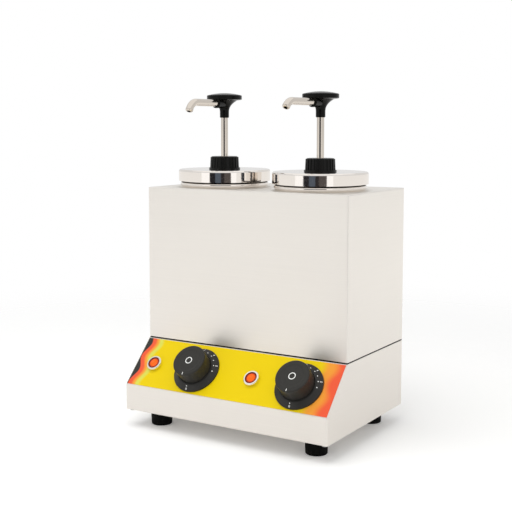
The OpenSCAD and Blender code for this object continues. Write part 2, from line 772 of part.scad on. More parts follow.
// Sensing bulb on the back of a well, with its capillary tube down to the thermostat
module sensor(side) {
  x = side * jar_pitch / 2;
  y = jar_y + well_r + rest_gap + bulb_r;
  up_y = y + 9;
  bend = 8;
  start = panel_point(knob_x(side), control_up, -thermostat_deep);
  away = panel_point(knob_x(side), control_up, -thermostat_deep - bend);
  route = [
    start, away, [knob_x(side), front_y + 40, base_top_z - 48],
    [x + 10, jar_y + 40, base_top_z - 30], [x, up_y, base_top_z + 10], [x, up_y, heater_z],
    [x, up_y, heater_z + heater_h - bend], [x, y, bulb_z - bend / 2], [x, y, bulb_z]
  ];
  color(BRASS) {
    swept_tube(smooth(route, 5), 1, 8, function(i) [1, 0, 0]);
    translate([x, y, bulb_z]) cylinder(r = bulb_r, h = bulb_top_z - bulb_z);
  }
}

// Levels in the panel's frame: the scale ring's floor, the knob's low end, the spindle's end
scale_z = overlay_t + scale_floor_t;
knob_low = scale_z + scale_head_h + knob_gap;
spindle_top = knob_h - 5;
// Thickness of the thermostat's plate
plate_t = 1.5;

// Thermostat: a box on a plate behind the panel, with a bushing through it for the spindle
module thermostat(side) {
  plate = [24, 13];
  box = [18, 20];
  color(WHITE) on_panel(knob_x(side)) difference() {
    union() {
      block([-plate[0], -plate[1], -sheet_t - plate_t], [plate[0], plate[1], -sheet_t]);
      block([-box[0], -box[1], -thermostat_deep], [box[0], box[1], -sheet_t - plate_t]);
      translate([0, 0, -sheet_t - plate_t])
        cylinder(r = bushing_r, h = sheet_t + plate_t + scale_z);
    }
    translate([0, 0, -spindle_in])
      cylinder(r = spindle_r + run_gap, h = spindle_in + scale_z + eps);
    for (s = [LEFT, RIGHT])
      translate([s * scale_screw_x, 0, 0]) drill(scale_screw_r + hole_gap);
  }
}

// Scale ring: a sloping skirt round a sunk floor, hollow underneath, which stays still
module scale_ring(side) {
  edge_h = 2.5;
  step_w = 3;
  step_drop = 0.3;
  skin = 1.8;
  bore = grip_r + scale_gap;
  edge_z = overlay_t + edge_h;
  step_r = grip_r + step_w;
  step_z = scale_h - step_drop;
  fall = (step_z - edge_z) / (scale_r - step_r);
  under = step_z - skin / cos(atan(fall));
  in_r = bore + skin;
  out_r = scale_r - skin;
  color(CHARCOAL) on_panel(knob_x(side)) difference() {
    rotate_extrude() polygon([
      [bushing_r + hole_gap, overlay_t], [scale_r, overlay_t], [scale_r, edge_z],
      [step_r, step_z], [bore, scale_h], [bore, scale_z], [bushing_r + hole_gap, scale_z]
    ]);
    rotate_extrude() polygon([
      [in_r, overlay_t - eps], [out_r, overlay_t - eps],
      [out_r, under - fall * (out_r - step_r)], [in_r, under - fall * (in_r - step_r)]
    ]);
    thermostat_holes();
  }
}

// Screws from the scale rings' floors through the panel and the thermostats' plates
module scale_screws() {
  color(POLISHED) for (side = [LEFT, RIGHT]) for (s = [LEFT, RIGHT])
    on_panel(knob_x(side)) translate([s * scale_screw_x, 0, scale_z]) rotate([180, 0, 0])
      screw(scale_screw_r, scale_head_r, scale_head_h, scale_z + sheet_t + plate_t, scale_nut_h);
}

module spindle(side) {
  color(POLISHED) on_panel(knob_x(side)) translate([0, 0, -spindle_in + rest_gap])
    cylinder(r = spindle_r, h = spindle_top + spindle_in - rest_gap);
}

// Knob: a round grip whose face is dished inside its rim
module knob(side) {
  rim_w = 6;
  dish_w = 3;
  dish = 0.5;
  wall = 3;
  roof = knob_h - 3.5;
  hub = spindle_r + 4;
  color(CHARCOAL) on_panel(knob_x(side)) difference() {
    rotate_extrude() polygon(concat(
      [[0, knob_low], [grip_r, knob_low]],
      arc(grip_r - knob_edge_r, knob_h - knob_edge_r, knob_edge_r, 0, 90),
      [[grip_r - rim_w, knob_h], [grip_r - rim_w - dish_w, knob_h - dish], [0, knob_h - dish]]));
    // Hollow under the grip, round the hub
    difference() {
      translate([0, 0, knob_low - eps]) cylinder(r = grip_r - wall, h = roof - knob_low + eps);
      cylinder(r = hub, h = roof + eps);
    }
    translate([0, 0, -eps]) cylinder(r = spindle_r + fit_gap, h = spindle_top + eps);
  }
}

// Lamp body with two blade contacts at its end
module lamp_body(side) {
  blade = [0.8, 4.8, 10];
  spread = 4;
  color(BLACK) on_panel(lamp_x(side)) {
    translate([0, 0, -lamp_body_l]) cylinder(r = lamp_body_r, h = lamp_body_l + overlay_t);
    for (s = [LEFT, RIGHT])
      translate([s * spread - blade[0] / 2, -blade[1] / 2, -lamp_body_l - blade[2]])
        cube(blade + [0, 0, eps]);
  }
}

// The bezel's edge radius is also the height of its lip above the lens's edge
bezel_edge = 1.2;
module lamp_bezel(side) {
  color(WHITE) on_panel(lamp_x(side)) rotate_extrude() polygon(concat(
    [[lens_r + fit_gap, overlay_t], [bezel_r, overlay_t]],
    arc(bezel_r - bezel_edge, bezel_h - bezel_edge, bezel_edge, 0, 90),
    [[lens_r + fit_gap, bezel_h]]));
}

module lamp_lens(side) {
  edge_z = bezel_h - bezel_edge;
  dome = 1.6;
  color(LAMP_RED) on_panel(lamp_x(side)) rotate_extrude() polygon(concat(
    [[0, overlay_t], [lens_r, overlay_t], [lens_r, edge_z]],
    [for (k = [1 : 8]) let (a = 90 * k / 8) [lens_r * cos(a), edge_z + dome * sin(a)]]));
}

// Jar: drawn body, bead that stands on the deck, and neck inside the lid
bead_seat_r = well_bore_r + bead_seat;
function bead_profile(shift) = [for (k = [0 : 10]) let (t = k / 10)
  [bead_seat_r + (neck_r - bead_seat_r) * t - shift
   + (bead_r - (bead_seat_r + neck_r) / 2) * sin(180 * t),
   deck_z + shift + (bead_h - shift) * t]];
module jar(side) {
  low = jar_low_z + jar_corner_r;
  in = jar_r - jar_corner_r;
  top = lid_z - lid_t;
  inner_bead = bead_profile(jar_t);
  color(POLISHED) on_jar(side) rotate_extrude() polygon(concat(
    [[0, jar_low_z]], arc(in, low, jar_corner_r, -90, 0),
    [[jar_r, deck_z]], bead_profile(0), [[neck_r, top], [neck_r - jar_t, top]],
    [for (k = [10 : -1 : 0]) inner_bead[k]], [[jar_r - jar_t, deck_z + jar_t]],
    arc(in, low, jar_corner_r - jar_t, 0, -90), [[0, jar_low_z + jar_t]]));
}

module lid(side) {
  low = deck_z + lid_wall_from;
  color(POLISHED) on_jar(side) rotate_extrude() polygon(concat(
    [[lid_r, low]], arc(lid_r - lid_edge_r, lid_z - lid_edge_r, lid_edge_r, 0, 90),
    [[barrel_r + hole_gap, lid_z], [barrel_r + hole_gap, lid_z - lid_t]],
    arc(lid_r - lid_edge_r, lid_z - lid_edge_r, lid_edge_r - lid_t, 90, 0),
    [[lid_r - lid_t, low]]));
}

// Ribbed cap that screws on to the cylinder's neck and clamps the lid
module pump_cap(side) {
  flange = 2.2;
  flange_out = 1.6;
  rib_w = 3;
  rib_out = 0.9;
  rib_deep = 2.5;
  sink = 0.6;
  bevel = 1;
  body_r = cap_flange_r - flange_out;
  lean = atan2(body_r - cap_top_r, cap_h - flange);
  color(BLACK) on_jar(side, lid_z) difference() {
    union() {
      rotate_extrude() polygon([
        [0, 0], [cap_flange_r, 0], [cap_flange_r, flange], [body_r - rib_out, flange],
        [cap_top_r - rib_out, cap_h - bevel], [cap_top_r - rib_out - bevel, cap_h], [0, cap_h]
      ]);
      for (i = [0 : cap_ribs - 1]) rotate([0, 0, i * 360 / cap_ribs])
        translate([body_r, 0, flange]) rotate([0, -lean, 0])
          translate([-rib_deep, -rib_w / 2, -sink])
            cube([rib_deep, rib_w, cap_h - flange - bevel + sink]);
    }
    translate([0, 0, -eps]) cylinder(r = barrel_r + fit_gap, h = cap_h - cap_wall + eps);
    cylinder(r = rod_r + run_gap, h = cap_h + eps);
  }
}

// Pump body: threaded neck and flange, guide tube, and the cylinder below it
module pump_barrel(side) {
  flange_w = 6;
  flange_t = 3;
  flange_r = barrel_r + flange_w;
  flange_top = lid_z - lid_t;
  flange_low = flange_top - flange_t;
  color(POLISHED) on_jar(side) rotate_extrude() polygon([
    [guide_bore_r, shoulder_z], [barrel_bore_r, shoulder_z], [barrel_bore_r, barrel_end_z],
    [barrel_r, barrel_end_z], [barrel_r, shoulder_z + shoulder_t],
    [guide_r, shoulder_z + shoulder_t], [guide_r, flange_low], [flange_r, flange_low],
    [flange_r, flange_top], [barrel_r, flange_top], [barrel_r, barrel_top_z],
    [guide_bore_r, barrel_top_z]
  ]);
}

// Foot valve: spigot in the cylinder, ball chamber, seat and inlet
ball_room = 2;
chamber_deep = 16;
chamber_r = ball_r + ball_room;
seat_top_z = barrel_end_z - chamber_deep;
seat_low_z = seat_top_z - (chamber_r - inlet_r);
module foot_valve(side) {
  low = barrel_end_z - valve_h;
  taper_w = 5;
  taper_h = 14;
  color(WHITE) on_jar(side) rotate_extrude() polygon([
    [inlet_r, low], [barrel_r - taper_w, low], [barrel_r, low + taper_h], [barrel_r, barrel_end_z],
    [barrel_bore_r - fit_gap, barrel_end_z], [barrel_bore_r - fit_gap, spigot_z],
    [chamber_r, spigot_z], [chamber_r, seat_top_z], [inlet_r, seat_low_z]
  ]);
}

// The seat is a cone at 45 degrees, so the ball's centre stands off it by its radius
module valve_ball(side) {
  seat_gap = 0.1;
  off = (ball_r + seat_gap) * sqrt(2);
  color(POLISHED) on_jar(side, seat_low_z - inlet_r + off) sphere(r = ball_r);
}

// Return spring between the foot valve and the piston
module return_spring(side) {
  low = spigot_z + wire_r + run_gap;
  high = piston_z - wire_r - run_gap;
  steps = spring_turns * 8;
  wire = [for (i = [0 : steps]) let (a = 45 * i)
    [spring_r * cos(a), spring_r * sin(a), low + (high - low) * i / steps]];
  color(POLISHED) on_jar(side) swept_tube(wire, wire_r, 6, function(i) [0, 0, 1]);
  gap = (high - low) / spring_turns - 2 * wire_r;
  if (side == LEFT) echo("least gap between the spring's turns, mm", gap);
}

module piston(side) {
  groove_w = 2.4;
  r = barrel_bore_r - run_gap;
  groove_r = r - 1.2;
  low = piston_z + (piston_h - groove_w) / 2;
  high = low + groove_w;
  color(WHITE) on_jar(side) rotate_extrude() polygon([
    [rod_r + run_gap, piston_z], [r, piston_z], [r, low], [groove_r, low], [groove_r, high],
    [r, high], [r, piston_top_z], [rod_r + run_gap, piston_top_z]
  ]);
}

// Hollow rod with a collar above and below the piston
module rod(side) {
  low = piston_z - run_gap - collar_h;
  high = hub_z + rod_in_hub;
  color(POLISHED) on_head(side) difference() {
    union() {
      translate([0, 0, low]) cylinder(r = rod_r, h = high - low);
      translate([0, 0, low]) cylinder(r = collar_r, h = collar_h);
      translate([0, 0, piston_top_z + run_gap]) cylinder(r = collar_r, h = collar_h);
    }
    translate([0, 0, low - eps]) cylinder(r = rod_bore_r, h = high - low + 2 * eps);
  }
}

// Handle: hub, trumpet and palm rest in one turned form, with the spout's sleeve
spout_root = 9;
module handle(side) {
  edge = 1.6;
  bevel = 0.8;
  flare_power = 2.5;
  flare_from = 8;
  flare_r = palm_r - palm_rim;
  flare_to = hub_to_palm - bevel;
  dome_r = palm_r - edge;
  dome_sphere = (dome_r * dome_r + palm_rise * palm_rise) / (2 * palm_rise);
  palm_top = hub_to_palm + palm_t;
  color(BLACK) on_head(side, hub_z) difference() {
    union() {
      rotate_extrude() polygon(concat(
        [[0, 0], [hub_r - bevel, 0], [hub_r, bevel]],
        [for (k = [0 : 10]) let (t = k / 10) [hub_r + (flare_r - hub_r) * pow(t, flare_power),
                                              flare_from + (flare_to - flare_from) * t]],
        [[palm_r - edge, hub_to_palm]],
        arc(palm_r - edge, hub_to_palm + edge, edge, -45, 0, 4),
        arc(palm_r - edge, palm_top - edge, edge, 0, 75, 4),
        [for (k = [0 : 8]) let (r = dome_r * (1 - k / 8))
          [r, palm_top + palm_rise - dome_sphere + sqrt(dome_sphere * dome_sphere - r * r)]]));
      translate([0, 0, hub_to_spout]) rotate([90, 0, 0]) cylinder(r = sleeve_r, h = sleeve_reach);
    }
    translate([0, 0, -eps]) cylinder(r = rod_r + fit_gap, h = rod_in_hub + eps);
    cylinder(r = rod_bore_r, h = hub_to_spout);
    translate([0, 0, hub_to_spout]) rotate([90, 0, 0]) {
      cylinder(r = rod_bore_r, h = sleeve_reach);
      translate([0, 0, spout_root]) cylinder(r = spout_r + fit_gap, h = sleeve_reach);
    }
  }
}

// Turn of the spout's bend, which leaves its nose the drop that it asks for
function spout_dip(drop) = acos((spout_bend_r - drop) / norm([spout_bend_r, nose_l]))
  - atan(nose_l / spout_bend_r);

// Frame of the spout's bend, turned by an angle from the level tube, and its children in it
module at_bend(level_l, turn) {
  translate([0, -level_l, -spout_bend_r]) rotate([0, -90, 180]) rotate([0, 0, turn]) children();
}

// Level tube and bend of the spout, as one tube of radius r, which starts over millimetres early
module spout_path(r, level_l, dip, over) {
  rotate([90, 0, 0]) translate([0, 0, spout_root - over])
    cylinder(r = r, h = level_l - spout_root + over);
  at_bend(level_l, 0) rotate_extrude(angle = dip) translate([spout_bend_r, 0]) circle(r = r);
}

// Spout: a tube with a bend and a nose that laps the tube's end and is drawn in round its mouth
module spout(side) {
  dip = spout_dip(side == LEFT ? spout_drop_left : spout_drop_right);
  level_l = spout_reach - spout_bend_r * sin(dip) - nose_l * cos(dip);
  nose_lap = 1.2;
  nose_r = spout_r + 0.2;
  lip_r = mouth_r + 0.4;
  color(POLISHED) on_head(side, spout_z) difference() {
    union() {
      spout_path(spout_r, level_l, dip, 0);
      at_bend(level_l, dip) translate([spout_bend_r, 0, 0]) rotate([-90, 0, 0])
        rotate_extrude() polygon(concat([[0, -nose_lap], [nose_r, -nose_lap]],
          [for (t = [0 : 15 : 90]) [lip_r + (nose_r - lip_r) * cos(t), nose_l * sin(t)]],
          [[0, nose_l]]));
    }
    spout_path(spout_r - spout_t, level_l, dip, eps);
    at_bend(level_l, dip) translate([spout_bend_r, 0, 0]) rotate([-90, 0, 0])
      translate([0, 0, -eps]) cylinder(r = mouth_r, h = nose_l + 2 * eps);
  }
}

base_shell();
base_floor();
floor_screws();
foot(-foot_x, foot_front_y);  // foot_front_left
foot(foot_x, foot_front_y);  // foot_front_right
foot(-foot_x, foot_rear_y);  // foot_rear_left
foot(foot_x, foot_rear_y);  // foot_rear_right
foot_screws();
control_overlay();
casing_gasket();
casing_screws();
upper_casing();
deck();
rear_panel();
cable_gland();
gland_nut();
terminal_block();
heating_well(LEFT);  // heating_well_left
heating_well(RIGHT);  // heating_well_right
heater_band(LEFT);  // heater_band_left
heater_band(RIGHT);  // heater_band_right
sensor(LEFT);  // sensor_left
sensor(RIGHT);  // sensor_right
thermostat(LEFT);  // thermostat_left
thermostat(RIGHT);  // thermostat_right
spindle(LEFT);  // spindle_left
spindle(RIGHT);  // spindle_right
scale_ring(LEFT);  // scale_ring_left
scale_ring(RIGHT);  // scale_ring_right
scale_screws();
knob(LEFT);  // knob_left
knob(RIGHT);  // knob_right
lamp_body(LEFT);  // lamp_body_left
lamp_body(RIGHT);  // lamp_body_right
lamp_bezel(LEFT);  // lamp_bezel_left
lamp_bezel(RIGHT);  // lamp_bezel_right
lamp_lens(LEFT);  // lamp_lens_left
lamp_lens(RIGHT);  // lamp_lens_right
jar(LEFT);  // jar_left
jar(RIGHT);  // jar_right
lid(LEFT);  // lid_left
lid(RIGHT);  // lid_right
pump_cap(LEFT);  // pump_cap_left
pump_cap(RIGHT);  // pump_cap_right
pump_barrel(LEFT);  // pump_barrel_left
pump_barrel(RIGHT);  // pump_barrel_right
foot_valve(LEFT);  // foot_valve_left
foot_valve(RIGHT);  // foot_valve_right
valve_ball(LEFT);  // valve_ball_left
valve_ball(RIGHT);  // valve_ball_right
return_spring(LEFT);  // return_spring_left
return_spring(RIGHT);  // return_spring_right
piston(LEFT);  // piston_left
piston(RIGHT);  // piston_right
rod(LEFT);  // rod_left
rod(RIGHT);  // rod_right
handle(LEFT);  // handle_left
handle(RIGHT);  // handle_right
spout(LEFT);  // spout_left
spout(RIGHT);  // spout_right
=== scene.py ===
"""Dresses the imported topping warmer: finishes, dial marks, lamp lenses, pump springs and a studio."""

import json
import math

import bmesh
import bpy
from mathutils import Matrix, Vector


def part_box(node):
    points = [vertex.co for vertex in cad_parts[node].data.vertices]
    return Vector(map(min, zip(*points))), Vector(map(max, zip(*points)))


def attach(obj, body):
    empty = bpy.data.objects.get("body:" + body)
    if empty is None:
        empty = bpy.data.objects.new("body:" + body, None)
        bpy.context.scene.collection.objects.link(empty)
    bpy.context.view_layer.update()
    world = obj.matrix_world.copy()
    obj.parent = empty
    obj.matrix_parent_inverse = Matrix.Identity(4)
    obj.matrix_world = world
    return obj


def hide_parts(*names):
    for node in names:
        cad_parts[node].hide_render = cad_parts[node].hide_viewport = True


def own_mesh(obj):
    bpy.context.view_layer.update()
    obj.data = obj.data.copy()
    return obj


bl_info = {
    "name": "Topping Warmer",
    "version": (1, 0, 0),
    "blender": (4, 5, 0),
    "location": "View3D > Sidebar > Warmer",
    "description": "Finishes, dial marks, lamp lenses and studio of a twin topping warmer",
    "category": "Object",
}

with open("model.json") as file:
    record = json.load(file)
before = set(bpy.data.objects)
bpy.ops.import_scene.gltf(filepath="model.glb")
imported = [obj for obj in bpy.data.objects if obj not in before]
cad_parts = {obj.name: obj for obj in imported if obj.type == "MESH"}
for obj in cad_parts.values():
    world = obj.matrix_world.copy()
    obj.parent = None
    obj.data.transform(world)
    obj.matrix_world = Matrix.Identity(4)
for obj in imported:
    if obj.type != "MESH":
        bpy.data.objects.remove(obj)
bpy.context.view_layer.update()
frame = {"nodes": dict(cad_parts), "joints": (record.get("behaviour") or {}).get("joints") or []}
NODES = frame["nodes"]
MM = 0.001
SIDES = ("left", "right")
# Where the picture was taken from: degrees round from the front, and down on to the lids
AZIMUTH = 31.78
PITCH = 5.18


def colour(text):
    """Linear colour of an sRGB hex value."""
    parts = [int(text[i : i + 2], 16) / 255 for i in (0, 2, 4)]
    return (*(c / 12.92 if c <= 0.04045 else ((c + 0.055) / 1.055) ** 2.4 for c in parts), 1.0)


def joint(name):
    """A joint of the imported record, by its name."""
    return next(row for row in frame["joints"] if row["name"] == name)


# Across the control panel, up its slope and out of it, read from a dial's axis
OUT = -Vector(joint("dial_turn_left")["axis"]).normalized()
ACROSS = Vector((1, 0, 0))
UP_SLOPE = OUT.cross(ACROSS)


def on_film(x):
    """Matrix of a place on the film's face, on the line of the controls: Z leaves the panel."""
    spot = Vector(joint("dial_turn_left")["pos_m"])
    spot.x = x
    turn = Matrix((ACROSS, UP_SLOPE, OUT)).transposed()
    return Matrix.LocRotScale(spot, turn, None)


def dial_x(side):
    """Place of a dial across the panel."""
    return joint(f"dial_turn_{side}")["pos_m"][0]


def lamp_x(side):
    """Place of a pilot lamp across the panel."""
    low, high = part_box(f"lamp_bezel_{side}")
    return (low.x + high.x) / 2


def tint(name, text, about):
    """A colour that a user may change."""
    return bpy.props.FloatVectorProperty(
        name=name, description=about, subtype="COLOR", size=4, min=0.0, max=1.0, default=colour(text)
    )


def length(name, millimetres, about):
    """A length that a user may change."""
    return bpy.props.FloatProperty(
        name=name, description=about, default=millimetres * MM, unit="LENGTH", min=0.0
    )


class WarmerSizes(bpy.types.PropertyGroup):
    """Sizes of the small pieces that the finish adds"""

    ring_radius: length("Ring radius", 36.0, "Outer radius of a scale ring")
    ring_edge: length("Ring edge", 2.5, "Height of the scale ring's outer edge above the film")
    slope_radius: length("Slope radius", 28.1, "Radius where the ring's slope starts")
    slope_top: length("Slope top", 7.0, "Height of the slope's start above the film")
    dot_place: length("Dot place", 29.6, "Distance of the dots from the dial's axis")
    dot_radius: length("Dot radius", 0.85, "Radius of a printed dot")
    number_place: length("Number place", 33.1, "Distance of the numbers from the dial's axis")
    number_size: length("Number size", 4.6, "Type size of the numbers")
    print_height: length("Print height", 0.1, "Height of a printed mark above its surface")
    grip_radius: length("Grip radius", 25.1, "Radius of the knob's grip")
    grip_height: length("Grip height", 29.0, "Height of the knob's face above the film")
    grip_edge: length("Grip edge", 2.0, "Edge radius of the knob's face")
    dish_depth: length("Dish depth", 0.5, "Depth of the dish in the knob's face")
    tick_width: length("Tick width", 1.0, "Width of the pointer's line")
    tick_length: length("Tick length", 2.6, "Length of the pointer's line on the knob's face")
    hub_ring_radius: length("Hub ring radius", 5.4, "Outer radius of the ring on the knob's face")
    hub_ring_width: length("Hub ring width", 1.3, "Width of the ring on the knob's face")
    lens_radius: length("Lens radius", 9.1, "Radius of a lamp's lens")
    lens_wall: length("Lens wall", 3.8, "Height of the lens's wall")
    lens_rise: length("Lens rise", 1.5, "Rise of the lens over its wall")
    facet_depth: length("Facet depth", 0.55, "Depth of the folds in the lens")
    spring_wire: length("Spring wire", 0.8, "Radius of a return spring's wire")
    spring_turns: bpy.props.IntProperty(
        name="Spring turns", description="Number of turns of a return spring", default=8, min=2
    )
    grain: length("Grain", 1.6, "Width of the brushed lines, as coarse as a picture shows")


class WarmerColours(bpy.types.PropertyGroup):
    """Colours of the warmer's surfaces"""

    steel: tint("Steel", "F8F4EE", "Satin sheet of the casing")
    steel_line: tint("Steel line", "F3EFE9", "Darker lines of the satin grain")
    polish: tint("Polish", "F3EDE7", "Polished lids and jars")
    ground: tint("Ground steel", "DDD4C9", "Ground rods and spouts")
    zinc: tint("Zinc", "C9CBCC", "Plated screws and springs")
    film: tint("Film", "EFD10B", "Ground colour of the printed film")
    film_orange: tint("Film orange", "F7A13C", "Lightest band at the film's ends")
    film_coral: tint("Film coral", "F2603F", "Middle band at the film's ends")
    film_lime: tint("Film lime", "DDDC5A", "Pale band beside the left end")
    film_coal: tint("Film coal", "3C3B38", "Dark band at the left end")
    knob: tint("Knob", "2D2C29", "Moulded knobs")
    ring: tint("Ring", "242321", "Moulded scale rings")
    marks: tint("Marks", "ECEEEA", "Printed numbers, dots and lines")
    handle: tint("Handle", "080806", "Moulded palm rests and pump caps")
    bezel: tint("Bezel", "F3EEE6", "Lamp bezels")
    lens: tint("Lens", "FF6204", "Core of a lamp's lens")
    lens_rim: tint("Lens rim", "640702", "Rim of a lamp's lens")
    rubber: tint("Rubber", "070706", "Feet and gasket")
    natural: tint("Natural", "E8E7E0", "Undyed plastic inside the pumps")
    brass: tint("Brass", "C0A468", "Heater bands and sensing bulbs")


class WarmerStage(bpy.types.PropertyGroup):
    """Studio round the warmer"""

    floor_radius: length("Floor radius", 1500.0, "Radius of the pale floor")
    tent_radius: length("Tent radius", 1150.0, "Radius of the tent of cards that the steel mirrors")
    tent_height: length("Tent height", 1400.0, "Height of that tent")
    sky: bpy.props.FloatProperty(
        name="Sky", description="Even light of the room", default=0.62, min=0.0
    )
    key: bpy.props.FloatProperty(
        name="Key", description="Power of the large lamp above", default=18.5, min=0.0
    )


def add(tree, kind, at=None, **settings):
    """Adds a node. A setting is a property, or a constant or link for the socket of that name;
    at gives constants and links by the socket's place."""
    made = tree.nodes.new(kind)
    feeds = []
    for name, value in settings.items():
        if name in made.bl_rna.properties:
            setattr(made, name, value)
        else:
            feeds.append((made.inputs[name.replace("_", " ")], value))
    feeds += [(made.inputs[place], value) for place, value in (at or {}).items()]
    for socket, value in feeds:
        if isinstance(value, bpy.types.NodeSocket):
            tree.links.new(value, socket)
        else:
            socket.default_value = value
    return made


def begin(name, **constants):
    """Starts a material: gives it, its tree, its shader and the object coordinates."""
    made = bpy.data.materials.new(name)
    made.use_nodes = True
    tree = made.node_tree
    tree.nodes.clear()
    shader = add(tree, "ShaderNodeBsdfPrincipled", **constants)
    add(tree, "ShaderNodeOutputMaterial", Surface=shader.outputs["BSDF"])
    place = add(tree, "ShaderNodeTexCoord").outputs["Object"]
    return made, tree, shader, place


def wire(tree, shader, **feeds):
    """Links sockets to the shader's inputs."""
    for name, socket in feeds.items():
        tree.links.new(socket, shader.inputs[name.replace("_", " ")])


def satin_stainless(name, light, dark, grain, lie, spread):
    """Stainless steel sheet, belt-polished: fine parallel lines, which smear what it mirrors across
    themselves, and faint wipe marks. The real lines are about 0.2 mm wide; these are drawn as coarse
    as a picture shows."""
    made, tree, shader, place = begin(name, Metallic=1.0, Anisotropic=spread, Anisotropic_Rotation=0.25)
    round_z = add(tree, "ShaderNodeTangent", direction_type="RADIAL", axis="Z")
    turned = add(tree, "ShaderNodeMapping", Vector=place, Scale=tuple(k / grain for k in lie))
    lines = add(tree, "ShaderNodeTexNoise", Vector=turned.outputs[0], Scale=1.0, Detail=3.0, Roughness=0.6)
    wipes = add(tree, "ShaderNodeTexNoise", Vector=place, Scale=9.0, Detail=2.0)
    tone = add(tree, "ShaderNodeMix", data_type="RGBA", at={0: lines.outputs[0], 6: dark, 7: light})
    worn = add(tree, "ShaderNodeMath", operation="ADD", at={0: lines.outputs[0], 1: wipes.outputs[0]})
    rough = add(
        tree, "ShaderNodeMapRange", at={0: worn.outputs[0], 1: 0.6, 2: 1.4, 3: 0.42, 4: 0.48}
    )
    bump = add(tree, "ShaderNodeBump", Strength=0.06, Distance=0.0002, Height=lines.outputs[0])
    wire(tree, shader, Base_Color=tone.outputs[2], Roughness=rough.outputs[0], Normal=bump.outputs[0])
    wire(tree, shader, Tangent=round_z.outputs[0])
    return made


def polished_stainless(name, shade, middle, smooth, dull):
    """Stainless steel, buffed while it turns: mirror-bright, with faint rings round the jar's axis."""
    made, tree, shader, place = begin(name, Metallic=1.0, Base_Color=shade)
    apart = add(tree, "ShaderNodeSeparateXYZ", Vector=place)
    # The two jars stand at one distance from the middle plane
    aside = add(tree, "ShaderNodeMath", operation="ABSOLUTE", at={0: apart.outputs[0]})
    from_x = add(tree, "ShaderNodeMath", operation="SUBTRACT", at={0: aside.outputs[0], 1: middle.x})
    from_y = add(tree, "ShaderNodeMath", operation="SUBTRACT", at={0: apart.outputs[1], 1: middle.y})
    flat = add(tree, "ShaderNodeCombineXYZ", at={0: from_x.outputs[0], 1: from_y.outputs[0]})
    away = add(tree, "ShaderNodeVectorMath", operation="LENGTH", at={0: flat.outputs[0]})
    along = add(tree, "ShaderNodeCombineXYZ", at={0: away.outputs["Value"], 2: apart.outputs[2]})
    rings = add(tree, "ShaderNodeTexNoise", Vector=along.outputs[0], Scale=900.0, Detail=2.0)
    haze = add(tree, "ShaderNodeTexNoise", Vector=place, Scale=22.0, Detail=3.0)
    worn = add(tree, "ShaderNodeMath", operation="ADD", at={0: rings.outputs[0], 1: haze.outputs[0]})
    rough = add(tree, "ShaderNodeMapRange", at={0: worn.outputs[0], 1: 0.7, 2: 1.3, 3: smooth, 4: dull})
    bump = add(tree, "ShaderNodeBump", Strength=0.02, Distance=0.0001, Height=rings.outputs[0])
    wire(tree, shader, Roughness=rough.outputs[0], Normal=bump.outputs[0])
    return made


def plated_steel(name, shade):
    """Plated metal, zinc on steel or a bright coat on brass: a soft crystalline sheen, a little patchy."""
    made, tree, shader, place = begin(name, Metallic=1.0)
    patch = add(tree, "ShaderNodeTexNoise", Vector=place, Scale=400.0, Detail=4.0)
    dull = tuple(c * 0.8 for c in shade[:3]) + (1.0,)
    tone = add(tree, "ShaderNodeMix", data_type="RGBA", at={0: patch.outputs[0], 6: dull, 7: shade})
    rough = add(tree, "ShaderNodeMapRange", at={0: patch.outputs[0], 3: 0.28, 4: 0.5})
    wire(tree, shader, Base_Color=tone.outputs[2], Roughness=rough.outputs[0])
    return made


def moulded(name, shade, rough_low, rough_high, pebble, depth, gloss=0.5):
    """Injection-moulded plastic from a spark-eroded tool: a fine pebble that scatters the gloss.
    The pebble is about 0.3 mm on the real one and is drawn a little coarser."""
    made, tree, shader, place = begin(name, IOR=1.5, Specular_IOR_Level=gloss)
    skin = add(tree, "ShaderNodeTexNoise", Vector=place, Scale=1.0 / pebble, Detail=3.0)
    flow = add(tree, "ShaderNodeTexNoise", Vector=place, Scale=40.0, Detail=2.0)
    paler = tuple(min(1.0, c * 1.18 + 0.002) for c in shade[:3]) + (1.0,)
    tone = add(tree, "ShaderNodeMix", data_type="RGBA", at={0: flow.outputs[0], 6: shade, 7: paler})
    rough = add(
        tree, "ShaderNodeMapRange", at={0: flow.outputs[0], 1: 0.3, 2: 0.7, 3: rough_low, 4: rough_high}
    )
    bump = add(tree, "ShaderNodeBump", Strength=depth, Distance=0.0001, Height=skin.outputs[0])
    wire(tree, shader, Base_Color=tone.outputs[2], Roughness=rough.outputs[0], Normal=bump.outputs[0])
    return made


def rubber(name, shade):
    """Black moulded rubber: matt, with a dusty bloom in patches."""
    made, tree, shader, place = begin(name, IOR=1.52, Specular_IOR_Level=0.08)
    dust = add(tree, "ShaderNodeTexNoise", Vector=place, Scale=160.0, Detail=5.0, Roughness=0.65)
    grey = tuple(c * 1.8 + 0.002 for c in shade[:3]) + (1.0,)
    bloom = add(tree, "ShaderNodeMapRange", at={0: dust.outputs[0], 1: 0.45, 2: 0.8})
    tone = add(tree, "ShaderNodeMix", data_type="RGBA", at={0: bloom.outputs[0], 6: shade, 7: grey})
    rough = add(tree, "ShaderNodeMapRange", at={0: dust.outputs[0], 3: 0.5, 4: 0.75})
    bump = add(tree, "ShaderNodeBump", Strength=0.2, Distance=0.0002, Height=dust.outputs[0])
    wire(tree, shader, Base_Color=tone.outputs[2], Roughness=rough.outputs[0], Normal=bump.outputs[0])
    return made


